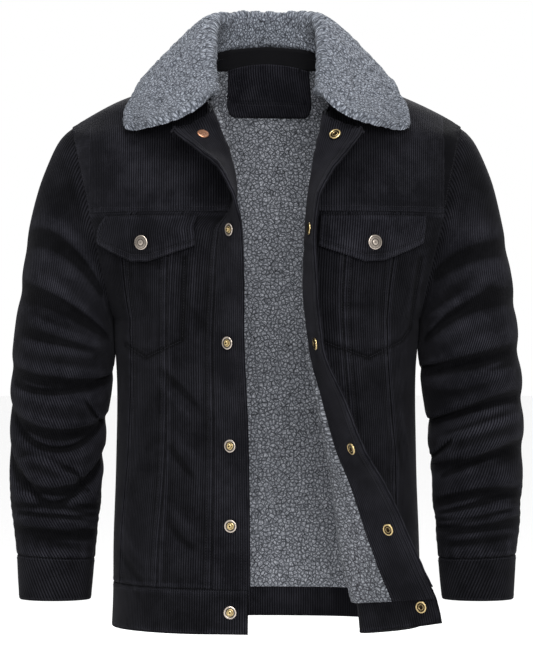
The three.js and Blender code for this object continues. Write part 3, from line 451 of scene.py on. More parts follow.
def add_wall(piece, thickness):
    """Gives a sheet its thickness, on the side away from its faces."""
    wall = piece.modifiers.new("thickness", "SOLIDIFY")
    wall.thickness = thickness * MM
    wall.offset = -1
    return piece


def declare(piece, node, base):
    """Hangs a piece of cloth from the root and hides the part it replaces; the size it was cut to is measured
    but not kept.
    """
    across, up = lengths_of(base)
    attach(piece, "root")
    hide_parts(node)
    return piece


def soft_waves(points):
    """The slack of worn cloth: slow uneven swells of up to about a millimetre."""
    x, y, z = (points[..., i] for i in range(3))
    swell = 0.42 * np.sin(x / 17.0 + 1.3 * np.sin(z / 61.0) + 0.6)
    swell = swell + 0.38 * np.sin(z / 23.0 + x / 45.0 + 1.1 * np.sin(x / 38.0 + y / 30.0))
    return swell + 0.3 * np.sin((x + z) / 31.0 + 0.9 * np.sin((x - z) / 52.0))


def seam_relief(distance, along, rows, seed):
    """The cloth beside a seam or edge: it rolls under at the seam, is drawn down along each row
    of stitches, and puckers a little between them."""
    made = -1.0 * np.exp(-((distance / 0.9) ** 2)) + 0.3 * np.exp(-(((distance - 3.6) / 2) ** 2))
    for row in rows:
        made = made - 0.65 * np.exp(-(((distance - row) / 0.9) ** 2))
    if rows:
        far = max(rows)
        pucker = np.sin(along / 2.1 + 1.9 * np.sin(along / 8.3 + seed) + seed)
        pucker = pucker * (0.6 + 0.4 * np.sin(along / 29.0 + 2 * seed))
        made = made + 0.28 * pucker * np.exp(-((distance / (far + 4.0)) ** 2))
    return made


def creases(points, folds):
    """Height of the creases at the points of a grid, seen square from the front or the back.

    A fold is x and z at its start, middle and end, then its half width and its height."""
    x, z = points[..., 0], points[..., 2]
    made = np.zeros(x.shape)
    for x0, z0, x1, z1, x2, z2, width, height in folds:
        t = np.linspace(0, 1, 13)
        line_x = x0 * (1 - t) ** 2 + 2 * x1 * t * (1 - t) + x2 * t * t
        line_z = z0 * (1 - t) ** 2 + 2 * z1 * t * (1 - t) + z2 * t * t
        near = np.full(x.shape, np.inf)
        place = np.zeros(x.shape)
        for i in range(12):
            dx, dz = line_x[i + 1] - line_x[i], line_z[i + 1] - line_z[i]
            s = np.clip(((x - line_x[i]) * dx + (z - line_z[i]) * dz) / (dx * dx + dz * dz), 0, 1)
            gap = (x - line_x[i] - s * dx) ** 2 + (z - line_z[i] - s * dz) ** 2
            place = np.where(gap < near, (i + s) / 12, place)
            near = np.minimum(near, gap)
        made = made + height * np.exp(-near / width**2) * np.sin(np.pi * np.clip(place, 0, 1)) ** 0.7
    return made


sewn_rows = []


def sew(points, distance, rows, axis=1):
    """Keeps the lines on a grid where the distance from an edge has each of these values."""
    out = normals(points)
    if axis == 0:
        points, out, distance = points.transpose(1, 0, 2), out.transpose(1, 0, 2), distance.T
    for row in rows:
        cross = np.diff(distance > row, axis=1)
        lines = np.flatnonzero(cross.any(1))
        if len(lines) < 3:
            continue
        at = cross[lines].argmax(1)
        low, high = distance[lines, at], distance[lines, at + 1]
        t = ((row - low) / (high - low))[:, None]
        sewn_rows.append((mix(points[lines, at], points[lines, at + 1], t), out[lines, at]))


# Creases of the fronts: x and z of three points, half width, height (a trough is negative).
FRONT_FOLDS = [
    (-132, -384, -112, -398, -76, -438, 3.2, -1.2),
    (-136, -392, -118, -418, -84, -452, 4.2, 0.7),
    (-64, -392, -44, -402, -22, -398, 1.8, -0.7),
    (-76, -438, -58, -452, -30, -452, 2.3, -0.6),
    (-60, -488, -44, -498, -26, -512, 1.8, -0.8),
    (-62, -530, -46, -526, -24, -532, 1.8, -0.6),
    (-62, -552, -46, -548, -26, -562, 1.8, -0.7),
    (-120, -474, -104, -500, -84, -520, 3.7, -1.1),
    (-114, -462, -96, -486, -72, -500, 3.7, 0.6),
    (-122, -566, -104, -596, -80, -606, 3.7, -1.0),
    (-126, -546, -104, -568, -78, -590, 3.7, 0.6),
    (-184, -602, -172, -630, -146, -652, 3.2, -1.2),
    (-186, -574, -160, -612, -138, -634, 3.7, 0.6),
    (-188, -640, -170, -650, -150, -668, 2.8, -0.7),
    (-158, -250, -138, -262, -122, -252, 2.3, -0.6),
    (-100, -300, -84, -322, -60, -352, 3.7, -0.5),
    (-52, -232, -38, -262, -30, -286, 1.8, -0.7),
    (60, -398, 74, -412, 96, -422, 2.3, -0.6),
    (70, -470, 84, -482, 104, -490, 2.3, -0.6),
    (84, -300, 104, -312, 132, -306, 3.2, -0.5),
    (120, -356, 146, -372, 168, -366, 3.2, -0.5),
    (150, -430, 160, -470, 168, -520, 3.2, -0.8),
    (160, -420, 174, -470, 180, -540, 3.2, 0.5),
]
# The stitched outline of each pocket bag under its flap, as x and z.
POCKETS = {
    "right": [(-99, -250), (-102, -350), (-148, -371), (-174, -356)],
    "left": [(69, -352), (124, -371), (166, -351), (177, -335), (189, -250)],
}


def outline_groove(points, outline, width, depth):
    """A stitched line pressed into the cloth, along straight runs of x and z."""
    x, z = points[..., 0], points[..., 2]
    near = np.full(x.shape, np.inf)
    for (x0, z0), (x1, z1) in zip(outline, outline[1:]):
        dx, dz = x1 - x0, z1 - z0
        s = np.clip(((x - x0) * dx + (z - z0) * dz) / (dx * dx + dz * dz), 0, 1)
        near = np.minimum(near, (x - x0 - s * dx) ** 2 + (z - z0 - s * dz) ** 2)
    return -depth * np.exp(-near / width**2)


def panel_relief(base, side, stitched):
    """Relief of a panel of a front. stitched gives the rows of stitches beside its low, high,
    bottom and top edges."""
    across, up = lengths_of(base)
    world = base * [side, 1, 1]
    made = soft_waves(world) + creases(world, FRONT_FOLDS)
    low, high, bottom, top = stitched
    made = made + seam_relief(across, up, low, 0.7)
    made = made + seam_relief(across[:, -1:] - across, up, high, 2.1)
    made = made + seam_relief(up, across, bottom, 3.3)
    return made + seam_relief(up[-1:] - up, across, top, 4.9)


def wear_and_shade_of(relief, reach=4):
    """How far the nap is rubbed, and painted shade: up to 1 on the ridges of the cloth, where the nap is
    rubbed lighter, and down to -1 in its folds, darkened as painted shade.
    """
    padded = np.pad(relief, reach, mode="edge")
    around = sum(
        padded[reach + i : reach + i + relief.shape[0], reach + j : reach + j + relief.shape[1]]
        for i in (-reach, 0, reach) for j in (-reach, 0, reach)
    ) / 9
    return np.clip((relief - around) * 1.15, -1, 1)


def relaxed(base, times=14):
    """Evens out the inside of a grid, with its edges kept."""
    made = base.copy()
    for _ in range(times):
        inner = made[:-2, 1:-1] + made[2:, 1:-1] + made[1:-1, :-2] + made[1:-1, 2:]
        made[1:-1, 1:-1] = made[1:-1, 1:-1] / 2 + inner / 8
    return made


def front_piece(name, front, side_name, marks, rows, stitched, thickness, height=0.0, extra=None):
    """One corduroy piece of a front, on its place in the front's face."""
    side = front["side"]
    base = front_face(front, marks[None, :], rows[:, None])
    base = base + normals(base) * height
    if name == "front_yoke":
        base = relaxed(base, 60)
    relief = panel_relief(base, side, stitched)
    if extra is not None:
        relief = relief + extra(base * [side, 1, 1])
    if name in ("front_side", "front_yoke"):
        across = lengths_of(base)[0]
        relief = relief + 0.9 * np.exp(-(((across[:, -1:] - across) / 0.9) ** 2))
    across, up = lengths_of(base)
    points = (base + normals(base) * relief[..., None]) * [side, 1, 1]
    wear_and_painted_light = wear_and_shade_of(relief)
    # Every piece but the yoke is darkened here: painted shade.
    if name != "front_yoke":
        wear_and_painted_light = wear_and_painted_light - LOWER_PAINTED_SHADE
    if name == "front_yoke":
        width = np.interp(np.abs(points[..., 0]), np.abs(points[0, :, 0]), across[0])
    else:
        width = across
    if side < 0:
        points, across, up = points[:, ::-1], across[:, ::-1], up[:, ::-1]
        width, wear_and_painted_light = width[:, ::-1], wear_and_painted_light[:, ::-1]
    flat = [width + 7.0 * len(name), up]
    piece = add_mesh(
        f"{name}_{side_name}_cloth", points, flat, BLACK_CORDUROY, values={"wear_and_painted_light": wear_and_painted_light}
    )
    add_wall(piece, thickness)
    sew(points, across, stitched[0])
    sew(points, across.max(1, keepdims=True) - across, stitched[1])
    sew(points, up, stitched[2], axis=0)
    sew(points, up[-1:] - up, stitched[3], axis=0)
    if name.startswith("front_") and name != "front_yoke":
        front_cloth[side_name].append(points.reshape(-1, 3))
    return declare(piece, f"{name}_{side_name}", base)


# The front panels, the front waistband, the sleeves and the cuffs are made darker than the yoke: painted
# shade.
LOWER_PAINTED_SHADE = 0.5
front_cloth = {"left": [], "right": []}
SEAM = 0.15
TWIN = [2.4, 8.2]
BODY_STEP = 2.9
PANELS = {
    "front_centre": (PLACKET_WIDTH, INNER_SEAM_MARK, [TWIN, [], [], []]),
    "front_middle": (INNER_SEAM_MARK, OUTER_SEAM_MARK, [TWIN, TWIN, [], []]),
    "front_side": (OUTER_SEAM_MARK, SIDE_MARK, [[], [], [], []]),
}
panel_rows = spread(BAND_Z + SEAM, YOKE_Z + 1.2, BODY_STEP)
for side_name, front in FRONTS.items():
    pocket = POCKETS[side_name]
    for name, (low, high, stitched) in PANELS.items():
        marks = spread(low + SEAM, high - SEAM, BODY_STEP)
        front_piece(
            name, front, side_name, marks, panel_rows, stitched, SHELL,
            extra=lambda at, line=pocket: outline_groove(at, line, 2.2, 1.5),
        )



def sew_outline(cloth, outline, way):
    """Keeps a line of stitches along straight runs of x and z, laid on the nearest cloth."""
    for (x0, z0), (x1, z1) in zip(outline, outline[1:]):
        t = np.linspace(0, 1, 30)
        x, z = mix(x0, x1, t), mix(z0, z1, t)
        gap = np.hypot(cloth[:, 0] - x[:, None], cloth[:, 2] - z[:, None])
        near = np.argpartition(gap, 4, axis=1)[:, :4]
        share = 1 / (np.take_along_axis(gap, near, 1) + 0.1)
        y = (cloth[near, 1] * share).sum(1) / share.sum(1)
        out = np.tile([0.0, way, 0.0], (30, 1))
        sewn_rows.append((np.stack([x, y, z], -1), out))


for side_name in FRONTS:
    sew_outline(np.concatenate(front_cloth[side_name]), POCKETS[side_name], -1.0)

# Yokes
# The shoulder piece of each front, from the armhole to the placket. Its lower edge lies over the
# panels and is held down by two rows of stitches.
yoke_rows = spread(YOKE_Z + SEAM, -SEAM, 2.9)
yoke_marks = spread(PLACKET_WIDTH + SEAM, SIDE_MARK - SEAM, 3.1)
for side_name, front in FRONTS.items():
    front_piece(
        "front_yoke", front, side_name, yoke_marks, yoke_rows, [[], [3.0], [2.6, 7.8], []], SHELL
    )

# Plackets
# The straight band along each free edge, seamed to the front and folded round the edge on to
# the facing, with a row of stitches near the fold.
PLACKET_ROWS = [3.0, 9.0]
WRAP_RADIUS = 2.4


def folded_edge(base, radius, steps=6):
    """Adds columns that carry a grid's first column round a fold to its inner side."""
    normal = normals(base)[:, :1]
    inward = base[:, :1] - base[:, 2:3]
    inward = inward / np.linalg.norm(inward, axis=-1, keepdims=True)
    turn = np.linspace(np.pi, 0, steps, endpoint=False)[None, :, None]
    fold = base[:, :1] + normal * radius * (np.cos(turn) - 1) + inward * radius * np.sin(turn)
    return np.concatenate([fold, base], axis=1)


placket_rows = spread(BAND_Z - 1.0, -SEAM, 3.3)
placket_marks = spread(0.0, PLACKET_WIDTH - SEAM, 2.6)
for side_name, front in FRONTS.items():
    side = front["side"]
    base = front_face(front, placket_marks[None, :], placket_rows[:, None])
    relief = panel_relief(base, side, [PLACKET_ROWS, [2.4], [], []])
    relief = relief + 1.1 * np.exp(-((lengths_of(base)[0] / 1.1) ** 2))
    points = (base + normals(base) * relief[..., None]) * [side, 1, 1]
    across = lengths_of(base)[0]
    if side > 0:
        sew(points, across, PLACKET_ROWS)
        sew(points, across[:, -1:] - across, [2.4])
    else:
        sew(points[:, ::-1], across[:, ::-1], PLACKET_ROWS)
        sew(points[:, ::-1], (across[:, -1:] - across)[:, ::-1], [2.4])
    points = folded_edge(points * [side, 1, 1], WRAP_RADIUS) * [side, 1, 1]
    flat = list(lengths_of(points))
    if side < 0:
        points, flat = points[:, ::-1], [part[:, ::-1] for part in flat]
    piece = add_mesh(f"placket_{side_name}_cloth", points, flat, BLACK_CORDUROY)
    add_wall(piece, 1.6)
    declare(piece, f"placket_{side_name}", folded_edge(base, WRAP_RADIUS))

# Waistband
# A plain double band of the same corduroy round the hem, with a row of stitches at each edge.
BAND_WALL = 2.6
band_rows = spread(HEM_Z, BAND_Z - SEAM, 2.8)
band_marks = spread(0.0, SIDE_MARK - SEAM, 3.0)
for side_name, front in FRONTS.items():
    front_piece(
        "waistband", front, side_name, band_marks, band_rows, [[2.6], [], [3.0], [2.6]], BAND_WALL
    )

# Facings
# The plain inside of each free edge, in the same cloth, from the neck down into the waistband.
FACING_OUT = -3.2
FACING_WALL = 1.6
FACING_WIDTH = 58.0
LINING_FOOT = -668.0
facing_rows = spread(LINING_FOOT, -SEAM, 3.3)
facing_marks = spread(0.6, FACING_WIDTH - SEAM, 3.0)


def facing_ripples(points):
    """Short cross ripples where the turned facing is slack."""
    x, z = points[..., 0], points[..., 2]
    return 0.5 * np.sin(z / 5.2 + 1.7 * np.sin(z / 19.0) + x / 11.0) * np.sin(z / 47.0 + 0.5) ** 2


for side_name, front in FRONTS.items():
    side = front["side"]
    base = front_face(front, facing_marks[None, :], facing_rows[:, None])
    out = normals(base)
    base = base + out * (FACING_OUT - FACING_WALL)
    across, up = lengths_of(base)
    relief = -soft_waves(base * [side, 1, 1]) * 0.5 + facing_ripples(base * [side, 1, 1])
    relief = relief - seam_relief(across, up, PLACKET_ROWS, 1.2) - 1.1 * np.exp(-((across / 1.1) ** 2))
    relief = relief - seam_relief(across[:, -1:] - across, up, [2.0], 2.7)
    points = (base + out * relief[..., None]) * [side, 1, 1]
    if side > 0:
        points, across, up = points[:, ::-1], across[:, ::-1], up[:, ::-1]
    sew(points, across, PLACKET_ROWS)
    sew(points, across.max(1, keepdims=True) - across, [2.0])
    piece = add_mesh(f"facing_{side_name}_cloth", points, [across, up], BLACK_CORDUROY)
    add_wall(piece, 1.0)
    declare(piece, f"facing_{side_name}", base)

# Front linings
# Grey sherpa fleece, a knitted backing with a thick curled pile, from the facing to the side
# seam. The pile stands in small uneven curls, with painted shade in the gaps between them.
PILE_BASE = -4.0
PILE_DEEP = -8.4


def curls(u, v, cell, seed):
    """Height from 0 to 1 of curled pile at places on the cloth: uneven long cells, each turned
    its own way and bent by a slow drift."""
    rng = np.random.default_rng(seed)
    size = 64
    jitter = rng.random((size, size, 2))
    turn = rng.random((size, size)) * np.pi
    tall = 0.72 + 0.28 * rng.random((size, size))
    bend = 0.33 * cell
    a = (u + bend * np.sin(v / (0.55 * cell) + 2.0 * np.sin(u / (1.7 * cell)))) / cell
    b = (v + bend * np.sin(u / (0.62 * cell) + 2.0 * np.sin(v / (1.9 * cell) + 1.0))) / cell
    best = np.zeros(np.shape(a))
    i0, j0 = np.floor(a).astype(int), np.floor(b).astype(int)
    for di in (-1, 0, 1):
        for dj in (-1, 0, 1):
            i, j = (i0 + di) % size, (j0 + dj) % size
            du = a - (i0 + di) - jitter[i, j, 0]
            dv = b - (j0 + dj) - jitter[i, j, 1]
            cos, sin = np.cos(turn[i, j]), np.sin(turn[i, j])
            long, short = du * cos + dv * sin, dv * cos - du * sin
            near = (long / 0.98) ** 2 + (short / 0.56) ** 2
            best = np.maximum(best, tall[i, j] * np.sqrt(np.maximum(1 - near, 0)))
    return best


# Curls: the real pile has one in about 3 to 5 mm, and they are drawn at their real size.
CURL_PITCH = 5.0
FINE_PITCH = 3.2


def pile_material(name, gap, deep, mid, tip):
    """Sherpa fleece: curled polyester pile, matt and soft. Its colour follows the pile's height: painted
    shade in the thin gaps between curls and in the low pile, painted light on the curl tips.
    """
    made, output = new_material(name)
    place = add_node(made, "ShaderNodeUVMap", {}, uv_map="cloth").outputs[0]
    sway = add_node(
        made, "ShaderNodeTexNoise", {"Vector": place, "Scale": 170.0, "Detail": 2.0}
    ).outputs[1]
    moved = add_node(
        made, "ShaderNodeVectorMath", {0: sway, 1: (0.0052, 0.0052, 0.0), 2: place},
        operation="MULTIPLY_ADD",
    ).outputs[0]
    parts = []
    for pitch, deepest in ((CURL_PITCH, 0.0), (FINE_PITCH, 0.45)):
        cells = {"Vector": moved, "Scale": 1 / (pitch * MM), "Randomness": 1.0}
        gaps = add_node(
            made, "ShaderNodeTexVoronoi", cells, feature="DISTANCE_TO_EDGE", voronoi_dimensions="2D"
        ).outputs["Distance"]
        parts.append(add_node(
            made, "ShaderNodeMapRange", {0: gaps, 1: 0.0, 2: 0.26, 3: deepest, 4: 1.0},
            interpolation_type="SMOOTHSTEP",
        ).outputs[0])
        own = add_node(made, "ShaderNodeTexVoronoi", cells, voronoi_dimensions="2D").outputs["Color"]
    curls_and_gap_shade = add_node(made, "ShaderNodeMath", {0: parts[0], 1: parts[1]}, operation="MULTIPLY").outputs[0]
    yarn = add_node(
        made, "ShaderNodeTexNoise", {"Vector": place, "Scale": 700.0, "Detail": 3.0, "Roughness": 0.7}
    ).outputs[0]
    pile = add_node(made, "ShaderNodeAttribute", {}, attribute_name="pile").outputs["Fac"]
    tone = add_node(made, "ShaderNodeMath", {0: own, 1: 0.35, 2: curls_and_gap_shade}, operation="MULTIPLY_ADD").outputs[0]
    tone = add_node(made, "ShaderNodeMath", {0: yarn, 1: 0.6, 2: tone}, operation="MULTIPLY_ADD").outputs[0]
    tone = add_node(made, "ShaderNodeMath", {0: pile, 1: 0.45, 2: tone}, operation="MULTIPLY_ADD").outputs[0]
    level = add_node(made, "ShaderNodeMapRange", {0: tone, 1: 0.32, 2: 1.95, 3: 0.0, 4: 1.0}).outputs[0]
    # Low pile and gaps take the dark colours as painted shade, and curl tips take the light ones as painted
    # light.
    base = ramp(made, level, [(0.05, gap), (0.34, deep), (0.66, mid), (0.95, tip)])
    height = add_node(made, "ShaderNodeMath", {0: yarn, 1: 0.7, 2: curls_and_gap_shade}, operation="MULTIPLY_ADD")
    bump = add_node(
        made, "ShaderNodeBump", {"Strength": 0.7, "Distance": 1.4 * MM, "Height": height.outputs[0]}
    )
    shader = add_node(
        made,
        "ShaderNodeBsdfPrincipled",
        {
            "Base Color": base,
            "Roughness": 0.95,
            "Specular IOR Level": 0.05,
            "Sheen Weight": 0.08,
            "Sheen Roughness": 0.6,
            "Sheen Tint": linear("#c4c8d0"),
            "Normal": bump.outputs[0],
        },
    )
    made.node_tree.links.new(shader.outputs[0], output.inputs[0])
    return made


GREY_SHERPA = pile_material("grey_sherpa_fleece", "#0a0b0d", "#2e3136", "#494c52", "#686c73")
# The back lining's copy is lighter and a little less blue; the lightening is painted light against the shade
# inside the back. The front linings' copy is darker: painted shade.
LIT_LINING_SHERPA = pile_material("grey_sherpa_lining_painted_light", "#09090a", "#34363a", "#53555a", "#75777c")
SHADED_FRONT_SHERPA = pile_material("grey_sherpa_front_lining_painted_shade", "#070708", "#28292c", "#414347", "#616367")


def pile_height(across, up, rim_low, rim_high, rim_bottom, rim_top, depth, seed, wide=None):
    """Height of a pile and its curls' level from 0 to 1; it rounds down at each rim."""
    wide = depth if wide is None else wide
    level = curls(across, up, 5.4, seed)
    fine = curls(across + 40, up, 3.4, seed + 1)
    level = np.clip(0.66 * level + 0.4 * fine, 0, 1)
    edge = np.minimum.reduce([
        np.where(rim_low, across, 99), np.where(rim_high, across[:, -1:] - across, 99),
        np.where(rim_bottom, up, 99), np.where(rim_top, up[-1:] - up, 99),
    ])
    near = np.clip(edge / wide, 0, 1)
    rounded = np.sqrt(1 - (1 - near) ** 2)
    return rounded * (depth - 1.3 + 2.2 * level), level


lining_rows = {
    "left": np.linspace(LINING_FOOT, -SEAM, 330),
    "right": np.linspace(LINING_FOOT, -SEAM, 200),
}
lining_marks = {
    "left": np.concatenate([np.linspace(FACING_WIDTH, 112, 34), np.linspace(116, SIDE_MARK - 0.3, 34)]),
    "right": np.concatenate([np.linspace(FACING_WIDTH, 92, 16), np.linspace(97, SIDE_MARK - 0.3, 36)]),
}
for side_name, front in FRONTS.items():
    side = front["side"]
    rows = lining_rows[side_name][:, None]
    base = front_face(front, lining_marks[side_name][None, :], rows)
    out = normals(base)
    base = base + out * PILE_BASE
    across, up = lengths_of(base)
    wide = 4.4 + (10.0 if side > 0 else 0.0) * np.clip((base[..., 2] + 420) / 120, 0, 1)
    depth, level = pile_height(across, up, True, False, True, False, 4.4, 11 + side, wide)
    points = (base - out * depth[..., None]) * [side, 1, 1]
    flat = [across, up]
    if side > 0:
        points, flat, level = points[:, ::-1], [part[:, ::-1] for part in flat], level[:, ::-1]
    piece = add_mesh(
        f"lining_front_{side_name}_pile", points, flat, SHADED_FRONT_SHERPA, values={"pile": level}
    )
    declare(piece, f"lining_front_{side_name}", base)

# Pocket flaps
# A pointed flap on each side, hung from the yoke seam over the pocket's mouth, with two rows of
# stitches inside its edge.
FLAP_TOP = -198.0
FLAP_LIFT = 3.8
FLAP_WALL = 2.8
FLAP_ROWS = [2.2, 7.6]
FLAP_SNAP_Z = -231.0
FLAP = {"low": 76.0, "high": 214.0, "tip": 145.0, "low_z": -236.0, "high_z": -230.0, "tip_z": -257.0}


def flap_face(front, from_edge, drop):
    """A flap's face, by distance from the free edge and drop from 0 at the top to 1 below."""
    inward = from_edge < FLAP["tip"]
    corner = np.where(inward, FLAP["low"], FLAP["high"])
    share = np.clip((from_edge - corner) / (FLAP["tip"] - corner), 0, 1)
    low_z = mix(np.where(inward, FLAP["low_z"], FLAP["high_z"]), FLAP["tip_z"], share**0.93)
    lean = front["flap_lean"] * np.clip((FLAP["high"] - from_edge) / 138, 0, 1) * (1 - drop) ** 1.8
    return front_at(front, mix(FLAP_TOP, low_z, drop), from_edge + lean)


flap_from = np.concatenate([
    spread(FLAP["low"], FLAP["tip"], 2.6)[:-8], spread(FLAP["tip"], FLAP["high"], 2.6)[8:]
])
flap_drop = 1 - np.linspace(0, 1, 34) ** 0.9
for side_name, front in FRONTS.items():
    side = front["side"]
    base = flap_face(front, flap_from[None, :], flap_drop[:, None])
    base = base + normals(base) * FLAP_LIFT
    across, up = lengths_of(base)
    relief = 0.6 * soft_waves(base * [side, 1, 1])
    for distance, along, seed in (
        (across, up, 0.3), (across[:, -1:] - across, up, 1.9), (up * 0.95, across, 2.8),
    ):
        relief = relief + seam_relief(distance, along, FLAP_ROWS, seed)
    relief = relief - 0.8 * np.exp(-((up[-1:] - up) / 1.2) ** 2)
    belly = np.sin(np.pi * np.clip(across / across[:, -1:], 0, 1)) ** 0.7
    hang = np.clip(1 - up / up[-1:], 0, 1)
    held = np.exp(-(((flap_from[None] - FLAP["tip"]) ** 2 + (base[..., 2] - FLAP_SNAP_Z) ** 2) / 260))
    relief = relief + (1.4 * belly * hang**1.5 + 3.0 * np.sqrt(hang)) * (1 - held)
    relief = relief + 0.7 * np.exp(-((np.minimum(up, across) / 3.0) ** 2))
    wear_and_painted_light = wear_and_shade_of(relief, 3)
    points = (base + normals(base) * relief[..., None]) * [side, 1, 1]
    if side < 0:
        points, across, up = points[:, ::-1], across[:, ::-1], up[:, ::-1]
    sew(points, np.minimum(across, across.max(1, keepdims=True) - across), FLAP_ROWS)
    sew(points[:, ::-1], np.minimum(across, across.max(1, keepdims=True) - across)[:, ::-1], FLAP_ROWS)
    sew(points, up * 0.95, FLAP_ROWS, axis=0)
    if side < 0:
        wear_and_painted_light = wear_and_painted_light[:, ::-1]
    # The left flap is lightened: painted light.
    wear_and_painted_light = wear_and_painted_light + (0.45 if side > 0 else 0.0)
    piece = add_mesh(
        f"pocket_flap_{side_name}_cloth", points, [across, up], BLACK_CORDUROY, values={"wear_and_painted_light": wear_and_painted_light}
    )
    add_wall(piece, FLAP_WALL)
    declare(piece, f"pocket_flap_{side_name}", base)

# Back
# One plain panel of corduroy from side seam to side seam and up to the shoulders, and the back
# of the waistband below it. The picture doesn't show it.
BACK_COLUMNS = table(
    "share top_x", (0, 0), (0.1, 30), (0.2, 55), (0.29, 70), (0.36, 79), (0.42, 82), (0.54, 114),
    (0.66, 147), (0.78, 180), (0.89, 212), (1, 243),
)
BACK_HALF = 265.0


def back_section(z, part):
    """x and y of the back at a height, by share of the way from the centre to the edge."""
    depth, width = depth_at(z, 1), section_width(z, 1)
    start = np.where(z > ARMPIT[1], np.arcsin(np.clip(armhole(z, 1)[1] / depth, 0, 1)), 0)
    turn = mix(np.pi / 2, start, part)
    return width * np.maximum(np.cos(turn), 0) ** (2 / BODY_ROUND), depth * np.sin(turn)


def upper_back_y(x, rise):
    neck = np.clip(1 - (x / NECK_HALF) ** 2, 0, 1)
    top = SHOULDER_TIP[1] + NECK_DEPTH * np.sqrt(neck)
    fall = np.sqrt(np.maximum(1 - rise * rise, 0))
    return top + (section_depth(x, YOKE_Z, 1) - top) * mix(fall, fall * fall, neck)


def back_face(share, row):
    """The outer face of the back, by share from the centre (positive on the wearer's right)."""
    share, row = np.broadcast_arrays(np.asarray(share, float), np.asarray(row, float))
    side = np.where(share < 0, 1, -1)
    part = np.abs(share)
    low_x, low_y = back_section(np.minimum(row, YOKE_Z), part)
    panel = np.stack([side * low_x, low_y, row], -1)
    rise = np.sin(np.clip((row - YOKE_Z) / -YOKE_Z, 0, 1) * np.pi / 2)
    top_x = smooth(BACK_COLUMNS, "share", "top_x", part)
    hollow = NECK_RISE * (1 - (top_x / NECK_HALF) ** 2)
    top_z = np.where(top_x < NECK_HALF, hollow, shoulder_z(top_x))
    x = mix(back_section(np.full(row.shape, YOKE_Z), part)[0], top_x, rise)
    z = mix(YOKE_Z, top_z, rise)
    edge_x, edge_y = armhole(z, 1)
    edge_rise = np.clip((z - YOKE_Z) / (SHOULDER_TIP[2] - YOKE_Z), 0, 1)
    miss = np.where(z < SHOULDER_TIP[2], edge_y - upper_back_y(edge_x, edge_rise), 0)
    above = np.stack([side * x, upper_back_y(x, rise) + miss * (x / edge_x) ** 3, z], -1)
    return np.where((row <= YOKE_Z)[..., None], panel, above)


# Creases of the back, as those of the fronts.
BACK_FOLDS = [
    (-170, -330, -130, -372, -70, -384, 11, -2.6),
    (-176, -300, -120, -344, -60, -352, 11, 1.6),
    (168, -338, 120, -378, 60, -392, 11, -2.4),
    (176, -306, 128, -348, 66, -362, 11, 1.5),
    (-150, -452, -90, -478, -20, -470, 10, -2.0),
    (140, -440, 84, -470, 16, -462, 10, -2.2),
    (-160, -560, -110, -590, -50, -588, 9, -2.2),
    (150, -548, 100, -582, 40, -596, 9, -1.9),
    (-120, -624, -70, -636, -10, -628, 8, -1.5),
    (130, -620, 84, -634, 30, -640, 8, -1.6),
    (-190, -150, -150, -190, -110, -236, 10, -1.7),
    (188, -146, 150, -188, 112, -240, 10, -1.6),
    (-60, -60, 0, -78, 62, -58, 10, -1.4),
]


def back_piece(name, shares, rows, thickness, stitched):
    """One corduroy piece of the back."""
    base = back_face(shares[None, :], rows[:, None])
    across, up = lengths_of(base)
    relief = soft_waves(base) + creases(base, BACK_FOLDS)
    for distance, along, lines, seed in (
        (across, up, stitched[0], 1.0), (across[:, -1:] - across, up, stitched[0], 2.0),
        (up, across, stitched[1], 3.0), (up[-1:] - up, across, stitched[2], 4.0),
    ):
        relief = relief + seam_relief(distance, along, lines, seed)
    points = base + normals(base) * relief[..., None]
    middle = across[:, across.shape[1] // 2][:, None]
    sew(points, up, stitched[1], axis=0)
    sew(points, up[-1:] - up, stitched[2], axis=0)
    piece = add_mesh(f"{name}_cloth", points, [across - middle, up], BLACK_CORDUROY)
    add_wall(piece, thickness)
    return declare(piece, name, base)


# The back's side edges go in under the fronts', so that no light shows through the seam.
SIDE_LAP = 0.9
back_shares = spread(-BACK_HALF - SIDE_LAP, BACK_HALF + SIDE_LAP, 5.4) / BACK_HALF
back_piece("back_panel", back_shares, spread(BAND_Z + SEAM, -SEAM, 5.4), SHELL, [[], [], []])
back_piece("waistband_back", back_shares, band_rows, BAND_WALL, [[], [3.0], [2.6]])

# Back lining
# The same grey sherpa over the whole inside of the back, seen through the neck and between the
# open fronts.
lining_shares = np.concatenate([
    np.linspace(-0.995, -0.46, 30, endpoint=False), np.linspace(-0.46, 0.46, 132),
    np.linspace(0.46, 0.995, 31)[1:],
])
base = back_face(lining_shares[None, :], np.linspace(LINING_FOOT, -SEAM, 345)[:, None])
out = normals(base)
base = base + out * PILE_BASE
across, up = lengths_of(base)
depth, level = pile_height(across, up, False, False, True, False, 4.4, 21)
pressed = np.clip((base[..., 2] + 9) / 8, 0, 1)
depth = depth * (1 - 0.9 * pressed)
piece = add_mesh(
    "lining_back_pile", (base - out * depth[..., None])[:, ::-1],
    [(across - across[:, across.shape[1] // 2][:, None])[:, ::-1], up[:, ::-1]],
    LIT_LINING_SHERPA, values={"pile": level[:, ::-1]},
)
declare(piece, "lining_back", base)

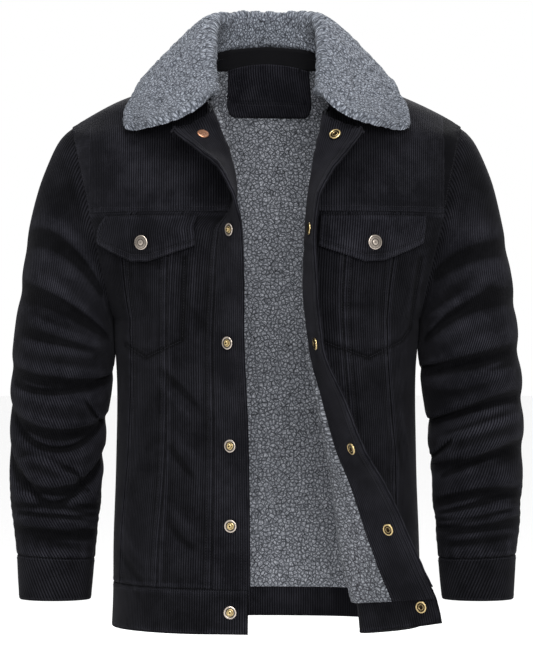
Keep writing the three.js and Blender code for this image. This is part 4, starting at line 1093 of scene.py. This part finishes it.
# Collar
# A wide turned-down collar: thick grey sherpa on top, which rolls over the neck, and corduroy
# under it. Its pile is deeper than the lining's and is fuzzy at the edge.
COLLAR = table(
    "at neck_x neck_y neck_z roll_x roll_y roll_z edge_x edge_y edge_z round",
    (0, 0, 79, 20, 0, 88, 62, 0, 114, -4, 10), (0.25, 45, 69, 14.5, 46, 76, 60, 75, 103, -8, 10),
    (0.5, 78, 33, 4.5, 66, 38, 53, 128, 60, -20, 10), (0.65, 83, 4, 1.5, 70, 4, 42, 152, 8, -30, 10),
    (0.8, 82, -38, -9, 71, -42, 16, 164, -40, -54, 9),
    (0.9, 80, -66, -28, 70, -76, -14, 172, -64, -70, 8),
    (1, 74, -93, -56, 66, -112, -52, 176, -94, -92, 7),
)
COLLAR_STAND = 0.36
COLLAR_SEAT = 2.2
COLLAR_SAG = 15.0
COLLAR_FORWARD = 42.0
COLLAR_PILE = 6.8


def unit(vectors):
    return vectors / np.linalg.norm(vectors, axis=-1, keepdims=True)


def bezier(a, b, c, d, t):
    t = t[..., None]
    return a * (1 - t) ** 3 + b * 3 * t * (1 - t) ** 2 + c * 3 * t * t * (1 - t) + d * t**3


def collar_face(place, share):
    """The collar's sheet, by place round the neck and share from the neck seam to the edge."""
    place, share = np.broadcast_arrays(place, share)
    u = np.abs(place)
    part = {name: smooth(COLLAR, "at", name, u) for name in COLLAR if name != "at"}
    neck, roll, edge = (
        np.stack([part[f"{name}_{axis}"] for axis in "xyz"], -1) for name in ("neck", "roll", "edge")
    )
    neck[..., 2] += COLLAR_SEAT
    up = unit(roll - neck)
    leaf = edge - roll
    out = unit(leaf - up * (leaf * up).sum(-1, keepdims=True))
    bend = part["round"][..., None]
    stand = bezier(
        neck, mix(neck, roll, 0.55), roll - out * bend * 0.8, roll,
        np.clip(share / COLLAR_STAND, 0, 1),
    )
    t = np.clip((share - COLLAR_STAND) / (1 - COLLAR_STAND), 0, 1)
    fall = bezier(roll, roll + out * bend * 1.3, mix(edge, roll, 0.45) + out * bend * 0.6, edge, t)
    end = np.clip((u - 0.82) / 0.18, 0, 1) ** 2
    fall[..., 2] -= COLLAR_SAG * end * np.sin(np.pi * t)
    fall[..., 1] -= COLLAR_FORWARD * end * np.sin(np.pi * np.minimum(t * 1.15, 1)) ** 0.8
    made = np.where((share <= COLLAR_STAND)[..., None], stand, fall)
    return made * np.stack([np.where(place < 0, -1, 1), np.ones(u.shape), np.ones(u.shape)], -1)


COLLAR_CORNER = 15.0


def rounded_corners(points, base, across, up):
    """Draws in the two front corners of the collar's free edge to a round."""
    down = unit(base[-1:] - base[-5:-4])
    for end, beside, away in ((0, 4, across), (-1, -5, across[:, -1:] - across)):
        toward = unit(base[:, end, None] - base[:, beside, None])
        a = np.clip(COLLAR_CORNER - away, 0, None)
        b = np.clip(COLLAR_CORNER - (up[-1:] - up), 0, None)
        drawn = np.where((a > 0) & (b > 0), 1 - np.maximum(a, b) / np.maximum(np.hypot(a, b), 1e-6), 0)
        points = points - toward * (a * drawn)[..., None] - down * (b * drawn)[..., None]
    return points


collar_places = np.linspace(-1, 1, 421)
collar_shares = np.concatenate([np.linspace(0, 0.42, 46, endpoint=False), np.linspace(0.42, 1, 72)])
base = collar_face(collar_places[None, :], collar_shares[:, None])
out = normals(base)
across, up = lengths_of(base)
middle = across.shape[0] * 2 // 3
even = np.broadcast_to(across[middle], across.shape)
depth, level = pile_height(even, up, True, True, True, True, COLLAR_PILE, 31)
sway = curls(even / 2.6, up / 2.6, 5.4, 33)
depth = depth + (sway - 0.5) * 3.4 * np.clip(depth / 3, 0, 1)
points = base + out * (0.3 + depth)[..., None]
tuft = curls(even / 1.5 + 9, up / 1.5, 5.4, 35)
rim = np.clip(1 - (up[-1:] - up) / 9.0, 0, 1) ** 1.3
points = points + unit(base[-1:] - base[-9:-8]) * (rim * (3.0 * tuft - 0.6))[..., None]
leaf = np.clip((collar_shares - 0.45) / 0.15, 0, 1)[:, None]
for end, beside, away in ((0, 6, across), (-1, -7, across[:, -1:] - across)):
    rim = np.clip(1 - away / 10.0, 0, 1) ** 1.3 * leaf
    toward = unit(base[:, end, None] - base[:, beside, None])
    points = points + toward * (rim * (3.0 * tuft + 2.2))[..., None]
points = rounded_corners(points, base, across, up)
piece = add_mesh("collar_top_pile", points, [even, up], GREY_SHERPA, values={"pile": level})
declare(piece, "collar_top", base)

under_places = np.linspace(-1, 1, 131)
under_shares = np.concatenate([np.linspace(0, 0.42, 16, endpoint=False), np.linspace(0.42, 1, 20)])
base = collar_face(under_places[None, :], under_shares[:, None])
across, up = lengths_of(base)
points = rounded_corners(base, base, across, up)
piece = add_mesh("collar_under_cloth", points, [up, across], BLACK_CORDUROY)
add_wall(piece, 2.0)
declare(piece, "collar_under", base)

# Neck tape and patch
# Inside the back neck, a black twill tape covers the collar seam, and a corduroy patch with
# rounded lower corners hangs below it. The patch is left bare.
NECK_TRIM = (-9.0, -10.4)
TAPE_SHARE = 0.32
PATCH_SHARE = 0.2
PATCH_TOP = -46.0
PATCH_FOOT = -113.0
PATCH_BOW = 4.3
PATCH_TAPER = 0.075
PATCH_SHIFT = 0.015
PATCH_CORNER = 11.0
tape_shares = np.linspace(-TAPE_SHARE, TAPE_SHARE, 90)
tape_foot = (-58 + 30 * (tape_shares / TAPE_SHARE) ** 2)[None]
TWILL_PITCH = 1.6


def twill(name, dark, light):
    """Black cotton twill tape: a smooth weave with fine slanting ribs."""
    made, output = new_material(name)
    place = add_node(made, "ShaderNodeUVMap", {}, uv_map="cloth").outputs[0]
    parts = add_node(made, "ShaderNodeSeparateXYZ", {0: place})
    slant = add_node(made, "ShaderNodeMath", {0: parts.outputs[0], 1: parts.outputs[1]}, operation="ADD")
    turns = 2 * math.pi / (TWILL_PITCH * MM)
    angle = add_node(made, "ShaderNodeMath", {0: slant.outputs[0], 1: turns}, operation="MULTIPLY")
    rib = add_node(made, "ShaderNodeMath", {0: angle.outputs[0]}, operation="SINE").outputs[0]
    thread = add_node(made, "ShaderNodeTexNoise", {"Vector": place, "Scale": 1100.0}).outputs[0]
    level = add_node(made, "ShaderNodeMath", {0: rib, 1: 0.3, 2: thread}, operation="MULTIPLY_ADD")
    base = ramp(made, level.outputs[0], [(0.2, dark), (0.85, light)])
    bump = add_node(
        made, "ShaderNodeBump", {"Strength": 0.4, "Distance": 0.3 * MM, "Height": level.outputs[0]}
    )
    shader = add_node(
        made,
        "ShaderNodeBsdfPrincipled",
        {"Base Color": base, "Roughness": 0.9, "Specular IOR Level": 0.05, "Normal": bump.outputs[0]},
    )
    made.node_tree.links.new(shader.outputs[0], output.inputs[0])
    return made


BLACK_TWILL = twill("black_cotton_twill_tape", "#040405", "#0c0c0e")


def neck_piece(name, shares, rows, relief_of, material, crown=0.0):
    """A piece of trim that lies on the lining inside the back neck. A crown carries its top edge
    on up under the collar's pile."""
    base = back_face(shares, rows)
    out = normals(base)
    base = base + out * NECK_TRIM[1]
    if crown:
        place = np.interp(np.abs(base[0, :, 0]), COLLAR["neck_x"][:3], COLLAR["at"][:3])
        top = collar_face(place[None] * np.sign(base[:1, :, 0]), np.full((1, len(place)), crown))
        base = mix(base[:1], top + [0, -7.5, -6.0], np.linspace(0, 1, len(rows))[:, None, None])
        out = -normals(base[:, ::-1])[:, ::-1]
        out = out * np.sign(out[..., 1:2] + 1e-9)
    across, up = lengths_of(base)
    points = (base - out * relief_of(across, up)[..., None])[:, ::-1]
    if name == "neck_patch":
        middle = slice(shares.shape[1] // 6, -shares.shape[1] // 6)
        sew(points[:, middle], up[:, ::-1][:, middle], [17.0, 20.5], axis=0)
        side = (across[:, -1:] - across)[:, ::-1]
        sew(points[13:-8], side[13:-8], [13.0, 16.0])
    flat = [across[:, ::-1], up[:, ::-1]]
    # The trim inside the neck is lightened against the shade that falls there: painted light.
    wear_and_painted_light = np.full(across.shape, 1.0)
    piece = add_mesh(name + "_cloth", points, flat, material, values={"wear_and_painted_light": wear_and_painted_light})
    add_wall(piece, 1.3)
    return declare(piece, name, base)


def tape_relief(across, up):
    made = seam_relief(up, across, [1.8], 0.4) + seam_relief(up[-1:] - up, across, [1.8], 1.4)
    return made * 0.6 + 0.25 * np.sin(across / 9.0)


def patch_relief(across, up):
    """Rolled edges, and an inner box of stitches with a pleat above its lower line."""
    width, height = across.max(), up.max()
    side = np.minimum(across, width - across)
    made = 0.7 * seam_relief(side, up, [], 0.0) + 0.7 * seam_relief(up, across, [], 0.0)
    box = -0.9 * np.exp(-(((side - 14.0) / 1.1) ** 2)) * (up > 16)
    line = up - 18.0 - 2.5 * np.sin(across / width * np.pi)
    fold = (-1.2 * np.exp(-((line / 1.0) ** 2)) + 0.7 * np.exp(-(((line - 2.6) / 1.4) ** 2))) * (side > 12)
    return made + box + fold + 0.35 * np.sin(across / 12.0 + up / 15.0)


neck_piece(
    "neck_tape", tape_shares[None], mix(tape_foot, -1.2, np.linspace(0, 1, 26)[:, None]), tape_relief,
    BLACK_TWILL,
    crown=0.035,
)
patch_shares = spread(-PATCH_SHARE * BACK_HALF, PATCH_SHARE * BACK_HALF, 2.4, 1.2, 9.0) / BACK_HALF
patch_side = (PATCH_SHARE - np.abs(patch_shares)) * BACK_HALF
corner = np.clip(1 - patch_side / PATCH_CORNER, 0, 1)
patch_foot = PATCH_FOOT + PATCH_BOW * (patch_shares / PATCH_SHARE) ** 2
patch_foot = patch_foot + PATCH_CORNER * (1 - np.sqrt(1 - corner**2))
patch_up = (np.linspace(0, 1, 34) ** 1.1)[:, None]
patch_rows = mix(patch_foot[None, :], PATCH_TOP, patch_up)
patch_shares = patch_shares[None] * (1 - PATCH_TAPER * (1 - patch_up)) - PATCH_SHIFT
neck_piece("neck_patch", patch_shares, patch_rows, patch_relief, BLACK_CORDUROY)

# Sleeves
# Two-piece sleeves sewn to the yoke and the back at the armhole. They are full and long, so the
# cloth stacks in deep folds from the elbow down to the cuff.
SLEEVE = table(
    "along out_x out_z in_x in_z depth y",
    (0, 243, -84, 190, -325, 64, 0), (30, 258, -101, 191.5, -336, 65, 2),
    (65, 273, -130, 191.5, -346, 66, 4), (100, 285, -162, 191.5, -357, 67, 4),
    (150, 296, -210, 191.5, -374, 67, 4), (200, 304, -258, 191.5, -392, 68, 3),
    (250, 311, -306, 193, -412, 67, 2), (300, 316, -354, 197, -438, 64, 0),
    (350, 320, -402, 200, -465, 60, -2), (400, 321, -450, 202, -496, 57, -5),
    (450, 321, -498, 204, -529, 54, -8), (500, 319, -546, 208, -563, 50, -11),
    (540, 314, -586, 212, -596, 46, -13), (562, 310.3, -616.8, 214, -620.8, 43, -14),
)
SLEEVE_LENGTH = 562.0
SLEEVE_WALL = 2.2
# Folds: three points of each, by turn round the sleeve (0 outer, 90 front, 180 inner) and
# distance along, then half width and height (a trough is negative).
SLEEVE_FOLDS = {
    "right": [
        (10, 70, 125, 182, 105, 20, 16, -4), (0, 84, 145, 232, 183, 95, 16, -5),
        (5, 90, 178, 326, 309, 185, 15, -7), (5, 75, 178, 370, 396, 300, 15, -8),
        (5, 84, 178, 410, 483, 370, 16, -8), (20, 95, 175, 508, 501, 486, 11, -4),
        (25, 100, 175, 535, 537, 530, 10, -4),
    ],
    "left": [
        (5, 70, 115, 176, 117, 10, 15, -4), (2, 70, 145, 256, 192, 105, 16, -6),
        (5, 94, 178, 308, 267, 165, 16, -9), (5, 90, 184, 374, 347, 334, 15, -8),
        (5, 90, 184, 434, 430, 414, 16, -8), (10, 90, 175, 508, 481, 492, 13, -6),
        (20, 95, 175, 525, 530, 522, 10, -4),
    ],
    "both": [
        (190, 262, 350, 180, 232, 246, 16, -5), (186, 255, 350, 330, 296, 318, 16, -7),
        (186, 270, 352, 398, 372, 358, 15, -7), (188, 265, 345, 452, 428, 442, 15, -7),
        (190, 270, 350, 514, 496, 505, 12, -5),
    ],
}
# Sharper creases that lie in and between those folds.
SLEEVE_CREASES = {
    "right": [
        (20, 80, 170, 342, 330, 205, 5, -3.5), (20, 80, 172, 386, 415, 318, 5, -4),
        (25, 84, 150, 428, 496, 425, 5, -3), (40, 84, 130, 452, 436, 470, 8, 2.2),
        (96, 128, 150, 440, 448, 486, 4, -2.2), (30, 90, 160, 516, 514, 505, 4, -2),
        (30, 95, 165, 549, 550, 546, 3, -1.5), (120, 140, 176, 300, 322, 330, 6, -2.5),
        (40, 90, 140, 250, 222, 150, 9, 2.0), (30, 80, 130, 290, 262, 200, 10, 2.0),
    ],
    "left": [
        (30, 110, 175, 296, 262, 205, 5, -4), (20, 100, 178, 364, 345, 322, 5, -4),
        (12, 90, 150, 424, 428, 440, 5, -3.5), (120, 150, 178, 380, 395, 400, 5, -4),
        (20, 90, 160, 484, 494, 505, 5, -2.5), (30, 95, 165, 510, 515, 512, 4, -2.2),
        (30, 95, 165, 543, 546, 540, 4, -2.2), (30, 90, 140, 216, 160, 60, 8, 2.5),
        (30, 90, 150, 330, 300, 240, 9, 3), (25, 90, 150, 392, 382, 372, 9, 3),
    ],
    "both": [
        (195, 262, 345, 345, 318, 335, 5, -3), (200, 270, 340, 412, 390, 380, 5, -3),
        (195, 262, 340, 466, 446, 458, 5, -3), (200, 265, 340, 528, 520, 530, 4, -2.2),
        (200, 260, 330, 260, 270, 262, 9, 2.5),
    ],
}


def fold_height(folds, turn, along, sharp=1.0):
    """Height of the folds. The upper side of each trough is the steeper one."""
    made = np.zeros(turn.shape)
    for t0, t1, t2, a0, a1, a2, width, height in folds:
        t = np.clip(((turn - t0) % 360) / (t2 - t0), 0, 1)
        knee = (t1 - t0) / (t2 - t0)
        line = a0 * (1 - t) * (knee - t) / knee + a1 * t * (1 - t) / (knee * (1 - knee))
        line = line + a2 * t * (t - knee) / (1 - knee)
        away = along - line
        away = away / np.where(away < 0, width * sharp, width * (2 - sharp))
        made = made + height * np.exp(-away * away) * np.sin(np.pi * t) ** 0.6
    return made


def ring_points(rings, turn, along, seat):
    """Points of a tube of rings, and the ways out from its middle."""
    size = {name: smooth(rings, "along", name, along) for name in rings if name != "along"}
    angle = np.radians(turn)
    h = (1 + np.cos(angle)) / 2
    lean = seat * SHOULDER_TIP[1] * np.clip(1 - along / 90, 0, 1) * h
    x = mix(size["in_x"], size["out_x"], h)
    z = mix(size["in_z"], size["out_z"], h)
    point = np.stack([x, size["y"] - size["depth"] * np.sin(angle) + lean, z], -1)
    centre = [(size["in_x"] + size["out_x"]) / 2, size["y"], (size["in_z"] + size["out_z"]) / 2]
    out = point - np.stack(np.broadcast_arrays(*centre), -1)
    return point, out / np.linalg.norm(out, axis=-1, keepdims=True)


# The grain of a sleeve turns inward on its way down. Its wales are drawn a quarter wider than the
# body's, because they are seen at a slant round the arm.
GRAIN_TWIST = 0.3
GRAIN_WIDTH = 0.78


def tube_piece(name, node, points, base, wall, wear_and_painted_light):
    """A tube of cloth from rings of points, sewn up along its inner side."""
    across, up = lengths_of(base)
    middle = across[:, across.shape[1] // 2][:, None]
    twist = GRAIN_TWIST if node.endswith("right") else -GRAIN_TWIST
    width = (across - middle) * GRAIN_WIDTH + up * twist
    # Sleeves and cuffs are darkened like the lower front pieces: painted shade.
    piece = add_mesh(name, points, [width, up], BLACK_CORDUROY, closed=True, values={"wear_and_painted_light": wear_and_painted_light - LOWER_PAINTED_SHADE})
    add_wall(piece, wall)
    return declare(piece, node, base)


sleeve_turns = np.linspace(180, -180, 109)
sleeve_alongs = np.concatenate([
    np.arange(0, 9, 1.4), np.linspace(10, 300, 66), np.linspace(303, SLEEVE_LENGTH - 8, 90),
    SLEEVE_LENGTH - np.arange(0, 7, 1.4)[::-1],
])
# The sleeve's seam allowance goes in under the edges of the yoke, side panel and back.
ARMHOLE_TUCK = 3.2
ARMHOLE_TILT = Vector((ARMPIT[1] - SHOULDER_TIP[2], 0, SHOULDER_TIP[0] - ARMPIT[0])).normalized()
for side_name, side in (("left", 1), ("right", -1)):
    turn, along = np.meshgrid(sleeve_turns, sleeve_alongs[::-1])
    base, out = ring_points(SLEEVE, turn, along, 1)
    tuck = ARMHOLE_TUCK * np.clip(1 - along / 12, 0, 1)
    base = base + tuck[..., None] * np.array(ARMHOLE_TILT)
    wide = [
        (fold[0] - 16, fold[1], fold[2] + 8) + fold[3:]
        for fold in SLEEVE_FOLDS[side_name] + SLEEVE_FOLDS["both"]
    ]
    sharp = SLEEVE_CREASES[side_name] + SLEEVE_CREASES["both"]
    relief = fold_height(wide, turn, along, 0.75)
    relief = relief + fold_height(sharp, turn, along, 0.6)
    stacked = np.clip((along - 455) / 50, 0, 1) * np.clip(np.sin(np.radians(turn)) + 0.4, 0, 1)
    ripple = np.sin(along / 1.75 + 1.6 * np.sin(np.radians(turn) * 2.3 + along / 31) + side)
    relief = relief + 0.55 * ripple * stacked
    calm = np.clip(along / 30, 0, 1) * np.clip((SLEEVE_LENGTH - along) / 20, 0, 1)
    relief = 1.25 * relief * calm + 1.2 * soft_waves(base * [side, 1, 1]) * calm
    gathers = np.sin(np.radians(turn) * 21 + 1.5 * np.sin(np.radians(turn) * 4 + side))
    relief = relief + 0.3 * gathers * np.exp(-((SLEEVE_LENGTH - along) / 14) ** 2)
    across, up = lengths_of(base)
    relief = relief + seam_relief(SLEEVE_LENGTH - along, across, [], 0.9)
    inner = np.clip(-np.cos(np.radians(turn)), 0, 1) ** 3
    relief = relief + 6.0 * inner * np.exp(-(((along - 85) / 75) ** 2)) * calm
    wear_and_painted_light = wear_and_shade_of(relief, 3)
    points = base + out * relief[..., None]
    flat_base = base
    if side < 0:
        points, flat_base = points[:, ::-1] * [-1, 1, 1], base[:, ::-1]
        wear_and_painted_light = wear_and_painted_light[:, ::-1]
    tube_piece(
        f"sleeve_{side_name}_cloth", f"sleeve_{side_name}", points, flat_base, SLEEVE_WALL, wear_and_painted_light
    )

# Cuffs
# A plain double band of corduroy that closes the end of each sleeve.
CUFF = table(
    "along out_x out_z in_x in_z depth y",
    (0, 310.3, -617.1, 214, -621.1, 43, -14), (28, 309, -645, 216, -647, 42.5, -14),
    (56, 307.4, -672, 218.5, -672, 42, -14.5),
)
CUFF_LENGTH = 56.0
CUFF_WALL = 3.5
cuff_alongs = spread(0, CUFF_LENGTH, 2.8, 1.2, 7.0)
for side_name, side in (("left", 1), ("right", -1)):
    turn, along = np.meshgrid(sleeve_turns, cuff_alongs[::-1])
    base, out = ring_points(CUFF, turn, along, 0)
    across, up = lengths_of(base)
    relief = 0.7 * soft_waves(base * [side, 1, 1])
    relief = relief + seam_relief(along, across, [2.4], 0.2)
    relief = relief + seam_relief(CUFF_LENGTH - along, across, [3.0], 1.3)
    points = base + out * relief[..., None]
    flat_base = base
    if side < 0:
        points, flat_base = points[:, ::-1] * [-1, 1, 1], base[:, ::-1]
    sew(points, along, [2.4], axis=0)
    sew(points, CUFF_LENGTH - along, [3.0], axis=0)
    tube_piece(
        f"cuff_{side_name}_cloth", f"cuff_{side_name}", points, flat_base, CUFF_WALL, 0 * turn
    )

# Stitches
# Black polyester thread in lockstitch, about three stitches to the centimetre, along the seams,
# edges, flaps and pocket outlines. Each stitch is drawn a little thicker than the real thread.
STITCH_PITCH = 3.4
STITCH_LENGTH = 2.9
STITCH_RADIUS = 0.34

thread, thread_output = new_material("black_polyester_thread")
thread_shader = add_node(
    thread,
    "ShaderNodeBsdfPrincipled",
    {"Base Color": linear("#16161a"), "Roughness": 0.8, "Specular IOR Level": 0.1},
)
thread.node_tree.links.new(thread_shader.outputs[0], thread_output.inputs[0])
stitch_points = np.array([(-1, 0, 0), (0, -1, 0), (0, 0, -1), (0, 1, 0), (0, 0, 1), (1, 0, 0)], float)
stitch_faces = np.array([
    (0, 2, 1), (0, 3, 2), (0, 4, 3), (0, 1, 4), (5, 1, 2), (5, 2, 3), (5, 3, 4), (5, 4, 1),
])
made_points, count = [], 0
for line, out in sewn_rows:
    run = np.concatenate([[0], np.linalg.norm(np.diff(line, axis=0), axis=1).cumsum()])
    middles = np.arange(STITCH_PITCH, run[-1] - STITCH_PITCH, STITCH_PITCH)
    if len(middles) == 0:
        continue
    place, ahead, way = (
        np.stack([np.interp(middles + step, run, part[:, i]) for i in range(3)], -1)
        for part, step in ((line, 0), (line, 0.8), (out, 0))
    )
    along = unit(ahead - place + 1e-9)
    way = unit(way - along * (way * along).sum(-1, keepdims=True))
    across = np.cross(along, way)
    shape = (
        along[:, None] * stitch_points[:, :1] * STITCH_LENGTH / 2
        + across[:, None] * stitch_points[:, 1:2] * STITCH_RADIUS
        + way[:, None] * stitch_points[:, 2:] * STITCH_RADIUS
    )
    made_points.append(((place + way * 0.12)[:, None] + shape).reshape(-1, 3))
made_points = np.concatenate(made_points) * MM
copies = len(made_points) // len(stitch_points)
faces = (stitch_faces[None] + np.arange(copies)[:, None, None] * len(stitch_points)).reshape(-1, 3)
thread_mesh = bpy.data.meshes.new("stitches")
thread_mesh.from_pydata(made_points.tolist(), [], faces.tolist())
thread_mesh.materials.append(thread)
stitches = bpy.data.objects.new("stitches", thread_mesh)
bpy.context.scene.collection.objects.link(stitches)
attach(stitches, "root")

# Snaps
# Antiqued press studs along the plackets: silver studs with a brass spring, copper backs, brass
# sockets, and a silver cap on the outside and on each flap. Each is turned or pressed round.


def metal(name, light, dark, roughness):
    """Antiqued metal: bright where it is rubbed, darker in the hollows and in small blotches."""
    made, output = new_material(name)
    here = add_node(made, "ShaderNodeTexCoord", {}).outputs["Object"]
    stain = add_node(
        made, "ShaderNodeTexNoise", {"Vector": here, "Scale": 420.0, "Detail": 4.0, "Roughness": 0.6}
    ).outputs[0]
    hollow = add_node(made, "ShaderNodeAttribute", {}, attribute_name="hollow").outputs["Fac"]
    level = add_node(made, "ShaderNodeMath", {0: stain, 1: 0.45, 2: hollow}, operation="MULTIPLY_ADD")
    colour = ramp(made, level.outputs[0], [(0.2, light), (0.95, dark)])
    rough = add_node(
        made, "ShaderNodeMapRange", {0: stain, 1: 0.3, 2: 0.7, 3: roughness - 0.08, 4: roughness + 0.14}
    ).outputs[0]
    bump = add_node(made, "ShaderNodeBump", {"Strength": 0.15, "Distance": 0.1 * MM, "Height": stain})
    shader = add_node(
        made,
        "ShaderNodeBsdfPrincipled",
        {"Base Color": colour, "Metallic": 1.0, "Roughness": rough, "Normal": bump.outputs[0]},
    )
    made.node_tree.links.new(shader.outputs[0], output.inputs[0])
    return made


SILVER = metal("antiqued_nickel", "#968d84", "#14110f", 0.3)
COPPER = metal("antiqued_copper", "#8f6852", "#2c1b13", 0.36)
BRASS = metal("antiqued_brass", "#9c8a64", "#1a130a", 0.3)
# Outlines from the rim to the axis: radius, height, and how dark the hollow is there.
SNAP_RINGS = {
    "stud": [
        (SILVER, [(7.6, 0, 0.4), (8.0, 0.5, 0.1), (7.6, 1.1, 0), (6.6, 1.3, 0), (5.9, 0.9, 0.5),
                  (4.7, 0.7, 0.8)]),
        (BRASS, [(4.7, 0.7, 0.7), (4.2, 1.3, 0.1), (3.4, 1.5, 0), (3.0, 1.1, 0.6), (2.6, 1.9, 0.3),
                 (2.9, 2.9, 0), (2.5, 3.6, 0), (1.4, 3.7, 0), (1.0, 3.2, 0.7), (0, 3.1, 0.8)]),
    ],
    "back": [
        (COPPER, [(7.3, 0, 0.4), (7.5, 0.4, 0.1), (7.1, 1.0, 0), (6.0, 1.3, 0), (3.6, 1.3, 0.1),
                  (3.0, 1.05, 0.4), (2.2, 1.2, 0.1), (0, 1.25, 0)]),
    ],
    "socket": [
        (BRASS, [(7.2, 0, 0.4), (7.5, 0.6, 0), (7.1, 1.5, 0), (6.4, 1.9, 0), (5.5, 1.6, 0.3),
                 (4.9, 1.0, 0.9), (4.0, 0.8, 0.9), (3.4, 1.5, 0.3), (2.9, 1.5, 0.4), (2.5, 0.5, 1),
                 (0, 0.4, 1)]),
    ],
    "cap": [
        (SILVER, [(8.8, 0, 0.6), (9.2, 0.5, 0.2), (8.7, 1.3, 0.05), (7.8, 1.6, 0.1), (7.2, 1.4, 0.6),
                  (6.6, 1.6, 0.35), (4.6, 1.9, 0.3), (3.9, 1.8, 0.85), (3.2, 2.1, 0.1),
                  (1.6, 2.3, 0), (0.9, 2.25, 0.35), (0, 2.25, 0.3)]),
    ],
}
SNAP_STEPS = 36


def seat_of(node):
    """Where a plain snap in the frame sits: a turn and place from its own axis and base."""
    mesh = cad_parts[node].data
    points = np.array([v.co for v in mesh.vertices])
    points = np.unique(np.round(points, 6), axis=0)
    middle = points.mean(0)
    axis = np.linalg.svd(points - middle)[2][2]
    high = (points - middle) @ axis
    wide = np.linalg.norm(points - middle - np.outer(high, axis), axis=1)
    if np.corrcoef(high, wide)[0, 1] > 0:
        axis, high = -axis, -high
    turn = Vector((0, 0, 1)).rotation_difference(Vector(axis)).to_matrix().to_4x4()
    return Matrix.Translation(Vector(middle + axis * high.min())) @ turn


def add_snap(node, part):
    """Turns a snap's outline round its axis, and sets it on its seat."""
    shape = bmesh.new()
    hollow = shape.verts.layers.float.new("hollow")
    made = bpy.data.meshes.new(node)
    for slot, (material, outline) in enumerate(SNAP_RINGS[part]):
        made.materials.append(material)
        line = [shape.verts.new((radius * MM, 0, up * MM)) for radius, up, dark in outline]
        for vertex, (radius, up, dark) in zip(line, outline):
            vertex[hollow] = dark
        edges = [shape.edges.new(pair) for pair in zip(line, line[1:])]
        before = set(shape.faces)
        bmesh.ops.spin(
            shape, geom=line + edges, cent=(0, 0, 0), axis=(0, 0, 1), dvec=(0, 0, 0),
            angle=2 * math.pi, steps=SNAP_STEPS, use_merge=True,
        )
        for face in set(shape.faces) - before:
            face.material_index = slot
    bmesh.ops.remove_doubles(shape, verts=shape.verts, dist=1e-6)
    bmesh.ops.holes_fill(shape, edges=[e for e in shape.edges if e.is_boundary], sides=0)
    bmesh.ops.recalc_face_normals(shape, faces=shape.faces)
    bmesh.ops.transform(shape, matrix=seat_of(node), verts=shape.verts)
    shape.to_mesh(made)
    shape.free()
    made.polygons.foreach_set("use_smooth", np.ones(len(made.polygons), bool))
    piece = bpy.data.objects.new(node + "_metal", made)
    bpy.context.scene.collection.objects.link(piece)
    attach(piece, "root")
    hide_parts(node)
    return piece


for number in range(1, 7):
    for part in ("stud", "back", "socket", "cap"):
        add_snap(f"snap_{part}_{number}", part)
for side_name in FRONTS:
    add_snap(f"flap_snap_{side_name}", "cap")

# Studio
# Not part of the jacket: a pale floor below it, a white surround, large soft lights, and the
# camera square to the front at the height of the picture's middle.
CAMERA_DISTANCE = 4.0
CAMERA_HEIGHT = -0.329
SENSOR = 36.0
VIEW_HEIGHT = 0.8075

camera_data = bpy.data.cameras.new("camera")
camera_data.sensor_width = SENSOR
camera_data.lens = SENSOR * CAMERA_DISTANCE / VIEW_HEIGHT
camera = bpy.data.objects.new("camera", camera_data)
camera.location = (0, -CAMERA_DISTANCE, CAMERA_HEIGHT)
camera.rotation_euler = (math.pi / 2, 0, 0)
bpy.context.scene.collection.objects.link(camera)
bpy.context.scene.camera = camera

floor_mesh = bpy.data.meshes.new("floor")
disc = bmesh.new()
bmesh.ops.create_circle(disc, cap_ends=True, segments=96, radius=30.0)
bmesh.ops.translate(disc, verts=disc.verts, vec=(0, 0, -1.1))
disc.to_mesh(floor_mesh)
disc.free()
floor = bpy.data.objects.new("floor", floor_mesh)
bpy.context.scene.collection.objects.link(floor)
paper, paper_output = new_material("matt_white_paper")
paper_shader = add_node(
    paper, "ShaderNodeBsdfPrincipled", {"Base Color": linear("#f7f7f7"), "Roughness": 0.9}
)
paper.node_tree.links.new(paper_shader.outputs[0], paper_output.inputs[0])
floor_mesh.materials.append(paper)

world = bpy.data.worlds.new("white_surround")
bpy.context.scene.world = world
world.use_nodes = True
world.node_tree.nodes["Background"].inputs[0].default_value = (1, 1, 1, 1)
world.node_tree.nodes["Background"].inputs[1].default_value = 1.0


def add_light(name, place, size, watts):
    """A square soft light, aimed at the middle of the jacket."""
    data = bpy.data.lights.new(name, "AREA")
    data.size = size
    data.energy = watts
    made = bpy.data.objects.new(name, data)
    made.location = place
    aim = Vector((0, 0, -0.35)) - Vector(place)
    made.rotation_euler = aim.to_track_quat("-Z", "Y").to_euler()
    bpy.context.scene.collection.objects.link(made)


add_light("key", (-0.35, -1.8, 2.8), 1.0, 165)
add_light("front", (0.3, -3.2, 0.7), 1.2, 140)
add_light("back", (0.4, 2.4, 2.0), 1.6, 220)
bpy.context.scene.view_settings.view_transform = "Standard"
